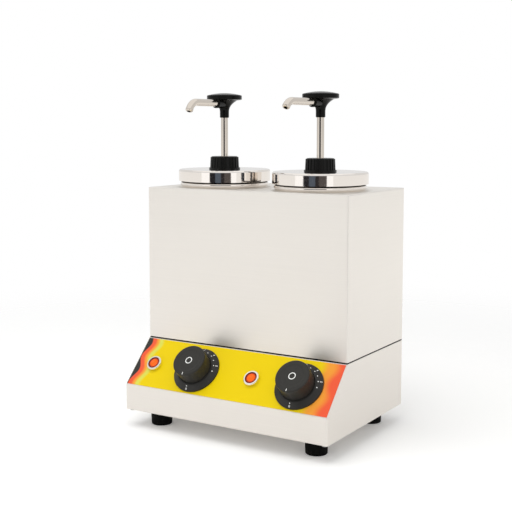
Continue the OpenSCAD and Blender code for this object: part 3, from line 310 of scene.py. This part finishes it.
def printed_film(name, hues):
    """Polycarbonate film, screen-printed from behind: even ink under a fine velvet face.
    Plain wavy bands run up the slope at both ends, soft-edged as a halftone blend is."""
    made, tree, shader, place = begin(name, IOR=1.58, Specular_IOR_Level=0.07)
    tilt = math.atan2(UP_SLOPE.z, UP_SLOPE.y)
    level = on_film(0.0).translation.dot(UP_SLOPE)
    # Millimetres across the panel and up its slope, from the line of the controls
    flat = add(
        tree,
        "ShaderNodeMapping",
        Vector=place,
        Location=(0, -level / MM, 0),
        Rotation=(-tilt, 0, 0),
        Scale=(1 / MM, 1 / MM, 1 / MM),
    )
    spot = add(tree, "ShaderNodeSeparateXYZ", Vector=flat.outputs[0])
    wave_length, wave_height = 46.0, 4.0
    phase = add(
        tree, "ShaderNodeMath", operation="MULTIPLY", at={0: spot.outputs[1], 1: math.tau / wave_length}
    )
    wave = add(tree, "ShaderNodeMath", operation="SINE", at={0: phase.outputs[0]})
    swing = add(tree, "ShaderNodeMath", operation="MULTIPLY", at={0: wave.outputs[0], 1: wave_height})
    bent = add(tree, "ShaderNodeMath", operation="ADD", at={0: spot.outputs[0], 1: swing.outputs[0]})
    ground = hues["film"]
    # Where each band starts to show and where its ink is full, and its ink
    bands = [
        (128.0, 144.0, "film_orange"),
        (147.0, 163.0, "film_coral"),
        (-140.0, -146.0, "film_lime"),
        (-148.0, -153.0, "film_orange"),
        (-153.0, -158.0, "film_coral"),
        (-162.5, -164.0, "film_coal"),
    ]
    for start, full, hue in bands:
        reach = add(
            tree,
            "ShaderNodeMapRange",
            interpolation_type="SMOOTHSTEP",
            at={
                0: bent.outputs[0],
                1: min(start, full),
                2: max(start, full),
                3: float(start > full),
                4: float(start < full),
            },
        )
        ink = add(tree, "ShaderNodeMix", data_type="RGBA", at={0: reach.outputs[0], 6: ground, 7: hues[hue]})
        ground = ink.outputs[2]
    velvet = add(tree, "ShaderNodeTexNoise", Vector=place, Scale=2200.0, Detail=2.0)
    bump = add(tree, "ShaderNodeBump", Strength=0.05, Distance=0.00005, Height=velvet.outputs[0])
    rough = add(tree, "ShaderNodeMapRange", at={0: velvet.outputs[0], 3: 0.36, 4: 0.46})
    wire(tree, shader, Base_Color=ground, Roughness=rough.outputs[0], Normal=bump.outputs[0])
    return made


def lens_acrylic(name, core, rim, middle, radius):
    """Cast acrylic lens over a neon lamp: orange in the middle, deep red towards its rim, with a faint
    painted glow standing in for the lamp's light shining through it.
    """
    made, tree, shader, place = begin(
        name, IOR=1.49, Roughness=0.12, Specular_IOR_Level=0.3, Emission_Strength=0.3
    )
    away = add(tree, "ShaderNodeVectorMath", operation="DISTANCE", at={0: place, 1: middle})
    share = add(
        tree,
        "ShaderNodeMapRange",
        interpolation_type="SMOOTHSTEP",
        at={0: away.outputs["Value"], 1: radius * 0.45, 2: radius * 0.92},
    )
    tone = add(tree, "ShaderNodeMix", data_type="RGBA", at={0: share.outputs[0], 6: core, 7: rim})
    # The same orange and red also feed the emission: a painted glow, brighter orange in the middle, in place
    # of the neon lamp's light
    wire(tree, shader, Base_Color=tone.outputs[2], Emission_Color=tone.outputs[2])
    return made


def chromed(name, shade):
    """Chrome plating on moulded plastic: a thin mirror skin over a slightly wavy surface."""
    made, tree, shader, place = begin(name, Metallic=1.0, Base_Color=shade)
    flow = add(tree, "ShaderNodeTexNoise", Vector=place, Scale=260.0, Detail=2.0)
    rough = add(tree, "ShaderNodeMapRange", at={0: flow.outputs[0], 1: 0.3, 2: 0.7, 3: 0.1, 4: 0.2})
    bump = add(tree, "ShaderNodeBump", Strength=0.08, Distance=0.0002, Height=flow.outputs[0])
    wire(tree, shader, Roughness=rough.outputs[0], Normal=bump.outputs[0])
    return made


def coat(names, material):
    """Gives the CAD nodes of those names a material."""
    for name in names:
        slots = NODES[name].material_slots
        if not slots:
            raise RuntimeError(f"{name} has no material slot")
        for slot in slots:
            slot.material = material


def both(*stems):
    """The left and the right node of each stem."""
    return [f"{stem}_{side}" for stem in stems for side in SIDES]


def select_only(*things):
    """Leaves only those objects selected, the first one active."""
    if bpy.context.object and bpy.context.object.mode != "OBJECT":
        bpy.ops.object.mode_set(mode="OBJECT")
    bpy.ops.object.select_all(action="DESELECT")
    for thing in things:
        thing.select_set(True)
    bpy.context.view_layer.objects.active = things[0] if things else None


def pick(kind, test):
    """In edit mode, selects only the vertices, edges or faces of the active mesh that pass the test."""
    bpy.ops.mesh.select_mode(type=kind)
    bpy.ops.mesh.select_all(action="DESELECT")
    data = bpy.context.object.data
    net = bmesh.from_edit_mesh(data)
    parts = {"VERT": net.verts, "EDGE": net.edges, "FACE": net.faces}[kind]
    for part in parts:
        part.select_set(test(part))
    net.select_flush_mode()
    bmesh.update_edit_mesh(data)


def settle(piece, place):
    """Puts a piece modelled round the origin in its place, and leaves the place in its mesh."""
    select_only(piece)
    piece.matrix_world = place
    bpy.ops.object.transform_apply(location=True, rotation=True, scale=True)


def copy_of(piece, name):
    """A copy of a piece with its own mesh."""
    select_only(piece)
    bpy.ops.object.duplicate(linked=False)
    bpy.context.object.name = name
    return bpy.context.object


def hand_over(piece, material, body):
    """Gives a finished piece its material and its body."""
    piece.data.materials.clear()
    piece.data.materials.append(material)
    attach(piece, body)


class WARMER_OT_casing(bpy.types.Operator):
    """Gives the casing its satin steel"""

    bl_idname = "warmer.casing"
    bl_label = "Casing"

    def execute(self, context):
        """Satin steel on the sheet pieces, with the grain level on the walls and across on the deck."""
        hues, sizes = context.scene.warmer_colours, context.scene.warmer_sizes
        walls = satin_stainless(
            "satin stainless, level grain", hues.steel, hues.steel_line, sizes.grain, (0.01, 0.01, 1.0), 0.5
        )
        coat(["upper_casing", "base_shell", "rear_panel"], walls)
        flats = satin_stainless(
            "satin stainless, flat sheet", hues.steel, hues.steel_line, sizes.grain, (0.01, 1.0, 0.01), 0.0
        )
        coat(["deck", "base_floor"], flats)
        coat(
            ["floor_screws", "foot_screws", "casing_screws"],
            plated_steel("zinc-plated steel", hues.zinc),
        )
        feet = [f"foot_{end}_{side}" for end in ("front", "rear") for side in SIDES]
        coat([*feet, "casing_gasket"], rubber("moulded rubber", hues.rubber))
        return {"FINISHED"}


class WARMER_OT_film(bpy.types.Operator):
    """Prints the film on the sloping panel"""

    bl_idname = "warmer.film"
    bl_label = "Panel film"

    def execute(self, context):
        """A yellow film with plain wavy bands at its ends."""
        hues = context.scene.warmer_colours
        names = ("film", "film_orange", "film_coral", "film_lime", "film_coal")
        coat(["control_overlay"], printed_film("printed film", {n: getattr(hues, n) for n in names}))
        return {"FINISHED"}


class WARMER_OT_jars(bpy.types.Operator):
    """Polishes the jars, lids, rods and spouts"""

    bl_idname = "warmer.jars"
    bl_label = "Jars and pumps"

    def execute(self, context):
        """Buffed steel outside, natural plastic inside the pumps."""
        hues = context.scene.warmer_colours
        low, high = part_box("jar_right")
        middle = (low + high) / 2
        bright = polished_stainless("buffed drawn stainless", hues.polish, middle, 0.05, 0.10)
        coat(both("jar", "lid", "pump_barrel", "valve_ball", "heating_well"), bright)
        tube = polished_stainless("ground stainless tube", hues.ground, middle, 0.06, 0.10)
        coat(both("rod", "spout"), tube)
        acetal = moulded("undyed acetal", hues.natural, 0.3, 0.45, 0.6 * MM, 0.1)
        coat(both("piston", "foot_valve"), acetal)
        return {"FINISHED"}


class WARMER_OT_springs(bpy.types.Operator):
    """Winds the return springs"""

    bl_idname = "warmer.springs"
    bl_label = "Return springs"

    def coil(self, side, sizes):
        """One coil of round wire with closed ends, as large as the solid that it stands for."""
        low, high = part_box(f"return_spring_{side}")
        wire = sizes.spring_wire
        rise = (high.z - low.z - 2 * wire) / sizes.spring_turns
        select_only()
        bpy.ops.mesh.primitive_circle_add(
            vertices=12,
            radius=wire,
            location=((high.x - low.x) / 2 - wire, 0, wire),
            rotation=(math.pi / 2, 0, 0),
        )
        made = bpy.context.object
        made.name = f"pump_spring_{side}"
        settle(made, made.matrix_world.copy())
        wind = made.modifiers.new("wind", "SCREW")
        wind.axis = "Z"
        wind.angle = math.tau
        wind.screw_offset = rise
        wind.iterations = sizes.spring_turns
        wind.steps = wind.render_steps = 32
        bpy.ops.object.modifier_apply(modifier=wind.name)
        bpy.ops.object.mode_set(mode="EDIT")
        bpy.ops.mesh.select_all(action="SELECT")
        bpy.ops.mesh.remove_doubles(threshold=wire / 100)
        bpy.ops.mesh.fill_holes(sides=0)
        bpy.ops.mesh.normals_make_consistent(inside=False)
        bpy.ops.object.mode_set(mode="OBJECT")
        bpy.ops.object.shade_smooth_by_angle(angle=math.radians(50))
        middle = (low + high) / 2
        settle(made, Matrix.Translation((middle.x, middle.y, low.z)))
        return made

    def execute(self, context):
        """A coil in each pump, in place of the CAD spring."""
        hues, sizes = context.scene.warmer_colours, context.scene.warmer_sizes
        bright = plated_steel("spring steel", hues.zinc)
        for side in SIDES:
            made = self.coil(side, sizes)
            hand_over(made, bright, f"pump_{side}")
            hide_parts(f"return_spring_{side}")
            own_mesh(made)
        return {"FINISHED"}


class WARMER_OT_black_parts(bpy.types.Operator):
    """Gives the palm rests, pump caps and cable gland their black plastic"""

    bl_idname = "warmer.black_parts"
    bl_label = "Black mouldings"

    def execute(self, context):
        """Smooth black on the palm rests, a little duller on the caps and fittings."""
        hues = context.scene.warmer_colours
        coat(both("handle"), moulded("black ABS, smooth", hues.handle, 0.14, 0.2, 0.8 * MM, 0.03, 0.13))
        coat(
            both("pump_cap", "lamp_body") + ["cable_gland", "gland_nut"],
            moulded("black ABS, fine texture", hues.handle, 0.28, 0.38, 0.7 * MM, 0.08, 0.2),
        )
        return {"FINISHED"}


class WARMER_OT_hidden_parts(bpy.types.Operator):
    """Finishes the heaters, thermostats and terminals inside the base"""

    bl_idname = "warmer.hidden_parts"
    bl_label = "Heaters and wiring parts"

    def execute(self, context):
        """Brass, plated steel and undyed plastic."""
        hues = context.scene.warmer_colours
        coat(both("heater_band", "sensor"), plated_steel("plated brass", hues.brass))
        coat(both("thermostat", "spindle"), plated_steel("pressed plated steel", hues.zinc))
        coat(["terminal_block"], moulded("undyed nylon", hues.natural, 0.4, 0.55, 0.7 * MM, 0.1))
        return {"FINISHED"}


class WARMER_OT_dials(bpy.types.Operator):
    """Prints the scale rings and the knobs"""

    bl_idname = "warmer.dials"
    bl_label = "Dials"

    def slope(self, sizes, angle, radius):
        """Matrix of a place on a scale ring's slope: Y runs outwards and down it, Z leaves it."""
        turn = math.radians(angle)
        run = sizes.ring_radius - sizes.slope_radius
        fall = sizes.slope_top - sizes.ring_edge
        outwards = Vector((math.cos(turn) * run, math.sin(turn) * run, -fall)).normalized()
        sideways = Vector((math.sin(turn), -math.cos(turn), 0))
        height = sizes.slope_top - fall * (radius - sizes.slope_radius) / run
        spot = Vector((math.cos(turn) * radius, math.sin(turn) * radius, height))
        axes = Matrix((sideways, outwards, sideways.cross(outwards))).transposed()
        return Matrix.LocRotScale(spot, axes, None)

    def dot(self, sizes):
        """One printed dot: a low disc with a rounded rim."""
        select_only()
        tall = 2 * sizes.print_height
        bpy.ops.mesh.primitive_cylinder_add(vertices=20, radius=sizes.dot_radius, depth=tall)
        bpy.ops.object.mode_set(mode="EDIT")
        pick("EDGE", lambda e: all(v.co.z > 0 for v in e.verts))
        bpy.ops.mesh.bevel(offset=sizes.print_height * 0.8, segments=3)
        bpy.ops.object.mode_set(mode="OBJECT")
        return bpy.context.object

    def number(self, sizes, text):
        """One printed number, cut from a text object."""
        select_only()
        bpy.ops.object.text_add()
        written = bpy.context.object
        written.data.body = text
        written.data.size = sizes.number_size
        written.data.extrude = sizes.print_height
        written.data.offset = sizes.number_size * 0.012
        written.data.align_x = "CENTER"
        written.data.align_y = "CENTER"
        bpy.ops.object.convert(target="MESH")
        return bpy.context.object

    def scale(self, sizes):
        """All marks of one scale ring, joined: nought below, then one to five clockwise from the left."""
        first = self.dot(sizes)
        marks = []
        for angle in [-92.0, *range(0, 181, 18)]:
            marks.append(copy_of(first, "mark"))
            settle(marks[-1], self.slope(sizes, angle, sizes.dot_place))
        bpy.data.objects.remove(first)
        for angle, text in [(-92.0, "0"), (162, "1"), (126, "2"), (90, "3"), (54, "4"), (18, "5")]:
            marks.append(self.number(sizes, text))
            settle(marks[-1], self.slope(sizes, angle, sizes.number_place))
        select_only(*marks)
        bpy.ops.object.join()
        return bpy.context.object

    def hub_ring(self, sizes):
        """A plain ring with rounded edges on the dish of the knob's face."""
        select_only()
        middle = sizes.hub_ring_radius - sizes.hub_ring_width / 2
        bpy.ops.mesh.primitive_torus_add(
            major_segments=64,
            minor_segments=12,
            major_radius=middle,
            minor_radius=sizes.hub_ring_width / 2,
            location=(0, 0, 0),
        )
        bpy.ops.object.mode_set(mode="EDIT")
        bpy.ops.mesh.select_all(action="SELECT")
        flatten = 2 * sizes.print_height / sizes.hub_ring_width
        bpy.ops.transform.resize(value=(1, 1, flatten))
        bpy.ops.transform.translate(value=(0, 0, sizes.grip_height - sizes.dish_depth))
        bpy.ops.object.mode_set(mode="OBJECT")
        bpy.ops.object.shade_smooth()
        return bpy.context.object

    def tick(self, sizes):
        """The pointer: a painted line on the face's low side, which starts down over its rounded edge."""
        edge, top = sizes.grip_edge, sizes.grip_height
        path = [(sizes.grip_radius - edge - sizes.tick_length, top)]
        for turn in (0, 8, 16, 24):
            lean = math.radians(turn)
            reach = sizes.grip_radius - edge + edge * math.sin(lean)
            path.append((reach, top - edge + edge * math.cos(lean)))
        points = [Vector((0, -r, h)) for r, h in path]
        select_only()
        bpy.ops.mesh.primitive_plane_add(size=1)
        bpy.ops.object.mode_set(mode="EDIT")
        bpy.ops.transform.resize(value=(sizes.tick_width, 1, 1))
        pick("VERT", lambda v: v.co.y > 0)
        bpy.ops.transform.translate(value=points[0] - Vector((0, 0.5, 0)))
        pick("VERT", lambda v: v.co.y < -0.1)
        bpy.ops.transform.translate(value=points[1] + Vector((0, 0.5, 0)))
        for before, after in zip(points[1:], points[2:]):
            # The strip's last edge lies across it, level with the point before
            pick("EDGE", lambda e: all((v.co - before).yz.length < 1e-6 for v in e.verts))
            bpy.ops.mesh.extrude_region_move(TRANSFORM_OT_translate={"value": after - before})
        bpy.ops.mesh.select_all(action="SELECT")
        bpy.ops.mesh.normals_make_consistent(inside=False)
        bpy.ops.object.mode_set(mode="OBJECT")
        line = bpy.context.object
        wall = line.modifiers.new("paint", "SOLIDIFY")
        wall.thickness = 2 * sizes.print_height
        wall.offset = 0.0
        bpy.ops.object.modifier_apply(modifier=wall.name)
        bpy.ops.object.shade_smooth_by_angle(angle=math.radians(40))
        return line

    def execute(self, context):
        """Charcoal mouldings with white marks, which stay on their rings or turn with their knobs."""
        hues, sizes = context.scene.warmer_colours, context.scene.warmer_sizes
        grip = moulded("charcoal nylon, fine texture", hues.knob, 0.36, 0.46, 0.9 * MM, 0.08, 0.22)
        coat(both("knob"), grip)
        ring = moulded("charcoal nylon, satin", hues.ring, 0.3, 0.4, 0.9 * MM, 0.06, 0.3)
        coat(both("scale_ring"), ring)
        coat(["scale_screws"], plated_steel("zinc-plated screws", hues.zinc))
        ink = moulded("white pad-printed ink", hues.marks, 0.35, 0.5, 0.5 * MM, 0.08)
        scale = self.scale(sizes)
        line = self.tick(sizes)
        hub = self.hub_ring(sizes)
        select_only(line, hub)
        bpy.ops.object.join()
        pointer = bpy.context.object
        for side in SIDES:
            marks = ((scale, "scale_marks", "housing"), (pointer, "knob_marks", f"dial_{side}"))
            for first, stem, body in marks:
                made = copy_of(first, f"{stem}_{side}")
                settle(made, on_film(dial_x(side)))
                hand_over(made, ink, body)
        bpy.data.objects.remove(scale)
        bpy.data.objects.remove(pointer)
        return {"FINISHED"}


class WARMER_OT_lamps(bpy.types.Operator):
    """Makes the faceted lamp lenses and finishes their bezels"""

    bl_idname = "warmer.lamps"
    bl_label = "Pilot lamps"

    def lens(self, sizes):
        """A lens whose face is folded into a star: a drum, inset twice, with every other point let down."""
        select_only()
        points = 24
        bpy.ops.mesh.primitive_cylinder_add(
            vertices=points,
            radius=sizes.lens_radius,
            depth=sizes.lens_wall,
            location=(0, 0, sizes.lens_wall / 2),
        )
        lens = bpy.context.object
        settle(lens, lens.matrix_world.copy())
        bpy.ops.object.mode_set(mode="EDIT")
        for inwards, upwards in ((0.13, 0.45), (0.35, 0.35)):
            top = max(v.co.z for v in bmesh.from_edit_mesh(lens.data).verts)
            # The face on top is the only one there with all the points
            pick("FACE", lambda f: len(f.verts) == points and f.calc_center_median().z > top - 1e-6)
            bpy.ops.mesh.inset(thickness=inwards * sizes.lens_radius, depth=0)
            bpy.ops.transform.translate(value=(0, 0, upwards * sizes.lens_rise))
        bpy.ops.mesh.poke()
        pick("VERT", lambda v: v.co.xy.length < 1e-5 and v.co.z > sizes.lens_wall)
        bpy.ops.transform.translate(value=(0, 0, 0.2 * sizes.lens_rise))

        def every_other(v):
            """A point of the inset rings that is let down to fold the face."""
            step = round(math.atan2(v.co.y, v.co.x) / math.tau * points)
            inner = v.co.xy.length < sizes.lens_radius * 0.95 and v.co.xy.length > 1e-4
            return inner and v.co.z > sizes.lens_wall and step % 2 == 0

        pick("VERT", every_other)
        bpy.ops.transform.translate(value=(0, 0, -sizes.facet_depth))
        bpy.ops.object.mode_set(mode="OBJECT")
        bpy.ops.object.shade_flat()
        return lens

    def execute(self, context):
        """Lenses in their bezels, riding on the housing."""
        hues, sizes = context.scene.warmer_colours, context.scene.warmer_sizes
        first = self.lens(sizes)
        for side in SIDES:
            place = on_film(lamp_x(side))
            middle = place @ Vector((0, 0, sizes.lens_wall))
            made = copy_of(first, f"star_lens_{side}")
            settle(made, place)
            glow = lens_acrylic(
                f"acrylic lens {side}", hues.lens, hues.lens_rim, middle, sizes.lens_radius
            )
            hand_over(made, glow, "housing")
            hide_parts(f"lamp_lens_{side}")
        bpy.data.objects.remove(first)
        coat(both("lamp_bezel"), chromed("chrome-plated ABS", hues.bezel))
        return {"FINISHED"}


class WARMER_OT_stage(bpy.types.Operator):
    """Sets the studio: floor, tent, lamps, room light and camera"""

    bl_idname = "warmer.stage"
    bl_label = "Stage"

    def tent(self, radius, height):
        """A round wall of cards that only mirrors see: pale grey, two white strips and a dark set of
        panels. The panels' angles are counted from the camera, anticlockwise as seen from above."""
        select_only()
        bpy.ops.mesh.primitive_cylinder_add(
            vertices=180, radius=radius, depth=height, location=(0, 0, height / 2), end_fill_type="NOTHING"
        )
        made = bpy.context.object
        made.name = "tent"
        settle(made, made.matrix_world.copy())
        cloth = bpy.data.materials.new("tent cloth")
        cloth.use_nodes = True
        tree = cloth.node_tree
        tree.nodes.clear()
        place = add(tree, "ShaderNodeTexCoord").outputs["Object"]
        spot = add(tree, "ShaderNodeSeparateXYZ", Vector=place)
        front = add(tree, "ShaderNodeMath", operation="MULTIPLY", at={0: spot.outputs[1], 1: -1.0})
        turn = add(tree, "ShaderNodeMath", operation="ARCTAN2", at={0: spot.outputs[0], 1: front.outputs[0]})
        around = add(
            tree,
            "ShaderNodeMapRange",
            clamp=False,
            at={0: turn.outputs[0], 1: -math.pi, 2: math.pi, 3: 0.0, 4: 1.0},
        )
        panels = add(tree, "ShaderNodeValToRGB", Fac=around.outputs[0])
        rows = [
            (-180.0, "FFFFFF", 0.0),
            (-61.0, "FFFFFF", 1.0),
            (-40.0, "242326", 1.0),
            (-26.0, "4F5762", 1.0),
            (-12.0, "2C292A", 1.0),
            (-3.0, "504B49", 1.0),
            (13.5, "FFFFFF", 1.0),
            (28.5, "FFFFFF", 0.0),
        ]
        band = panels.color_ramp
        band.interpolation = "CONSTANT"
        for row, (angle, shade, alpha) in enumerate(rows):
            stop = (angle + AZIMUTH + 180.0) / 360.0 if row else 0.0
            mark = band.elements[0] if row == 0 else band.elements.new(stop)
            mark.position = stop
            mark.color = (*colour(shade)[:3], alpha)
        band.elements.remove(band.elements[-1])
        tall = add(tree, "ShaderNodeMapRange", at={0: spot.outputs[2], 1: 0.0, 2: height})
        levels = add(tree, "ShaderNodeValToRGB", Fac=tall.outputs[0])
        band = levels.color_ramp
        shades = [(0.0, "F5F4F2"), (0.2, "F2F1EF"), (0.33, "E9E8E6"), (0.45, "D9D9D9")]
        for row, (up, shade) in enumerate(shades):
            mark = band.elements[row] if row < 2 else band.elements.new(up / height)
            mark.position = up / height
            mark.color = colour(shade)
        # The panels hang between these heights, and the cards' own shades show above and below
        foot, head = 0.2, 0.5
        over = add(tree, "ShaderNodeMath", operation="GREATER_THAN", at={0: spot.outputs[2], 1: foot})
        under = add(tree, "ShaderNodeMath", operation="LESS_THAN", at={0: spot.outputs[2], 1: head})
        between = add(
            tree, "ShaderNodeMath", operation="MULTIPLY", at={0: over.outputs[0], 1: under.outputs[0]}
        )
        share = add(
            tree,
            "ShaderNodeMath",
            operation="MULTIPLY",
            at={0: panels.outputs["Alpha"], 1: between.outputs[0]},
        )
        tone = add(
            tree,
            "ShaderNodeMix",
            data_type="RGBA",
            at={0: share.outputs[0], 6: levels.outputs[0], 7: panels.outputs["Color"]},
        )
        light = add(tree, "ShaderNodeEmission", Color=tone.outputs[2], Strength=1.1)
        add(tree, "ShaderNodeOutputMaterial", Surface=light.outputs[0])
        made.data.materials.append(cloth)
        made.visible_camera = False
        made.visible_diffuse = False
        made.visible_shadow = False
        made.visible_transmission = False

    def floor(self, radius):
        """A pale round floor that fades out into the white room."""
        select_only()
        bpy.ops.mesh.primitive_circle_add(vertices=96, radius=radius, fill_type="NGON")
        made = bpy.context.object
        made.name = "floor"
        paper = bpy.data.materials.new("matt paper")
        paper.use_nodes = True
        tree = paper.node_tree
        tree.nodes.clear()
        place = add(tree, "ShaderNodeTexCoord").outputs["Object"]
        away = add(tree, "ShaderNodeVectorMath", operation="LENGTH", at={0: place})
        fade = add(
            tree,
            "ShaderNodeMapRange",
            interpolation_type="SMOOTHSTEP",
            at={0: away.outputs["Value"], 1: radius * 0.3, 2: radius * 0.95},
        )
        # White paper to the camera, with the object's shadow on it, and a paler grey in the steel
        path = add(tree, "ShaderNodeLightPath")
        paper_tone = add(
            tree,
            "ShaderNodeMix",
            data_type="RGBA",
            at={0: path.outputs["Is Glossy Ray"], 6: colour("FBFBFA"), 7: colour("F4F2F0")},
        )
        matt = add(tree, "ShaderNodeBsdfDiffuse", Color=paper_tone.outputs[2])
        lift = add(
            tree, "ShaderNodeMath", operation="MULTIPLY", at={0: path.outputs["Is Camera Ray"], 1: 0.14}
        )
        glow = add(tree, "ShaderNodeEmission", Color=colour("FFFFFF"), Strength=lift.outputs[0])
        paper_shader = add(tree, "ShaderNodeAddShader", at={0: matt.outputs[0], 1: glow.outputs[0]})
        clear = add(tree, "ShaderNodeBsdfTransparent")
        mixed = add(
            tree,
            "ShaderNodeMixShader",
            at={0: fade.outputs[0], 1: paper_shader.outputs[0], 2: clear.outputs[0]},
        )
        add(tree, "ShaderNodeOutputMaterial", Surface=mixed.outputs[0])
        made.data.materials.append(paper)

    def lamp(self, name, place, aim, size, power):
        """A soft square lamp that aims at a point."""
        bpy.ops.object.light_add(type="AREA", location=place)
        made = bpy.context.object
        made.name = name
        made.data.shape = "SQUARE"
        made.data.size = size
        made.data.energy = power
        made.visible_glossy = False
        made.rotation_euler = (Vector(aim) - Vector(place)).to_track_quat("-Z", "Y").to_euler()

    def room(self, scene, sky):
        """An even room: white to the camera, mirrors and glass, and soft light to the rest."""
        world = bpy.data.worlds.new("white room")
        scene.world = world
        world.use_nodes = True
        tree = world.node_tree
        tree.nodes.clear()
        path = add(tree, "ShaderNodeLightPath")
        seen = add(
            tree,
            "ShaderNodeMath",
            operation="MAXIMUM",
            at={0: path.outputs["Is Camera Ray"], 1: path.outputs["Is Glossy Ray"]},
        )
        through = add(
            tree,
            "ShaderNodeMath",
            operation="MAXIMUM",
            at={0: seen.outputs[0], 1: path.outputs["Is Transmission Ray"]},
        )
        soft = add(tree, "ShaderNodeBackground", Color=colour("FFFFFF"), Strength=sky)
        white = add(tree, "ShaderNodeBackground", Color=colour("FFFFFF"), Strength=1.0)
        mixed = add(
            tree, "ShaderNodeMixShader", at={0: through.outputs[0], 1: soft.outputs[0], 2: white.outputs[0]}
        )
        add(tree, "ShaderNodeOutputWorld", Surface=mixed.outputs[0])

    def camera(self, scene):
        """The camera stands where the picture was taken, a little above the lids."""
        azimuth, pitch = math.radians(AZIMUTH), math.radians(PITCH)
        # In the picture's pixels: its width, the focal length, and how far its middle is let down
        width, focal, drop = 512, 998.0, 37.5
        back = Vector(
            (
                math.sin(azimuth) * math.cos(pitch),
                -math.cos(azimuth) * math.cos(pitch),
                math.sin(pitch),
            )
        )
        made = bpy.data.objects.new("camera", bpy.data.cameras.new("camera"))
        scene.collection.objects.link(made)
        made.location = (0.7689, -1.2724, 0.4516)
        made.rotation_mode = "QUATERNION"
        made.rotation_quaternion = (-back).to_track_quat("-Z", "Y")
        made.data.sensor_width = 36.0
        made.data.lens = focal / width * made.data.sensor_width
        made.data.shift_y = -drop / width
        scene.camera = made

    def execute(self, context):
        """Floor, tent, lamps, room and camera."""
        scene, studio = context.scene, context.scene.warmer_stage
        fill = studio.key * 0.3
        self.camera(scene)
        self.floor(studio.floor_radius)
        self.room(scene, studio.sky)
        self.tent(studio.tent_radius, studio.tent_height)
        self.lamp("key lamp", (-0.2, -0.7, 2.0), (0, -0.1, 0.1), 1.6, studio.key)
        self.lamp("fill lamp", (1.2, -2.0, 1.0), (0, 0, 0.2), 1.4, fill)
        scene.view_settings.view_transform = "Standard"
        return {"FINISHED"}


STEPS = (
    WARMER_OT_stage,
    WARMER_OT_casing,
    WARMER_OT_film,
    WARMER_OT_jars,
    WARMER_OT_springs,
    WARMER_OT_black_parts,
    WARMER_OT_hidden_parts,
    WARMER_OT_dials,
    WARMER_OT_lamps,
)


class WARMER_PT_sidebar(bpy.types.Panel):
    """Lists the steps that dress the warmer"""

    bl_label = "Topping Warmer"
    bl_space_type = "VIEW_3D"
    bl_region_type = "UI"
    bl_category = "Warmer"

    def draw(self, context):
        """One button for each step, then the sizes and colours."""
        for step in STEPS:
            self.layout.operator(step.bl_idname)
        for group in (context.scene.warmer_sizes, context.scene.warmer_colours, context.scene.warmer_stage):
            box = self.layout.box()
            for name in group.__annotations__:
                box.prop(group, name)


GROUPS = {"warmer_sizes": WarmerSizes, "warmer_colours": WarmerColours, "warmer_stage": WarmerStage}


def register():
    """Registers the classes and hangs their values on the scene."""
    for made in (*GROUPS.values(), *STEPS, WARMER_PT_sidebar):
        bpy.utils.register_class(made)
    for name, group in GROUPS.items():
        setattr(bpy.types.Scene, name, bpy.props.PointerProperty(type=group))


def unregister():
    """Takes the values and the classes away again."""
    for name in GROUPS:
        delattr(bpy.types.Scene, name)
    for made in reversed((*GROUPS.values(), *STEPS, WARMER_PT_sidebar)):
        bpy.utils.unregister_class(made)


def main():
    """Runs the steps in order."""
    register()
    for step in STEPS:
        group, name = step.bl_idname.split(".")
        getattr(getattr(bpy.ops, group), name)()


if __name__ == "__main__":
    main()
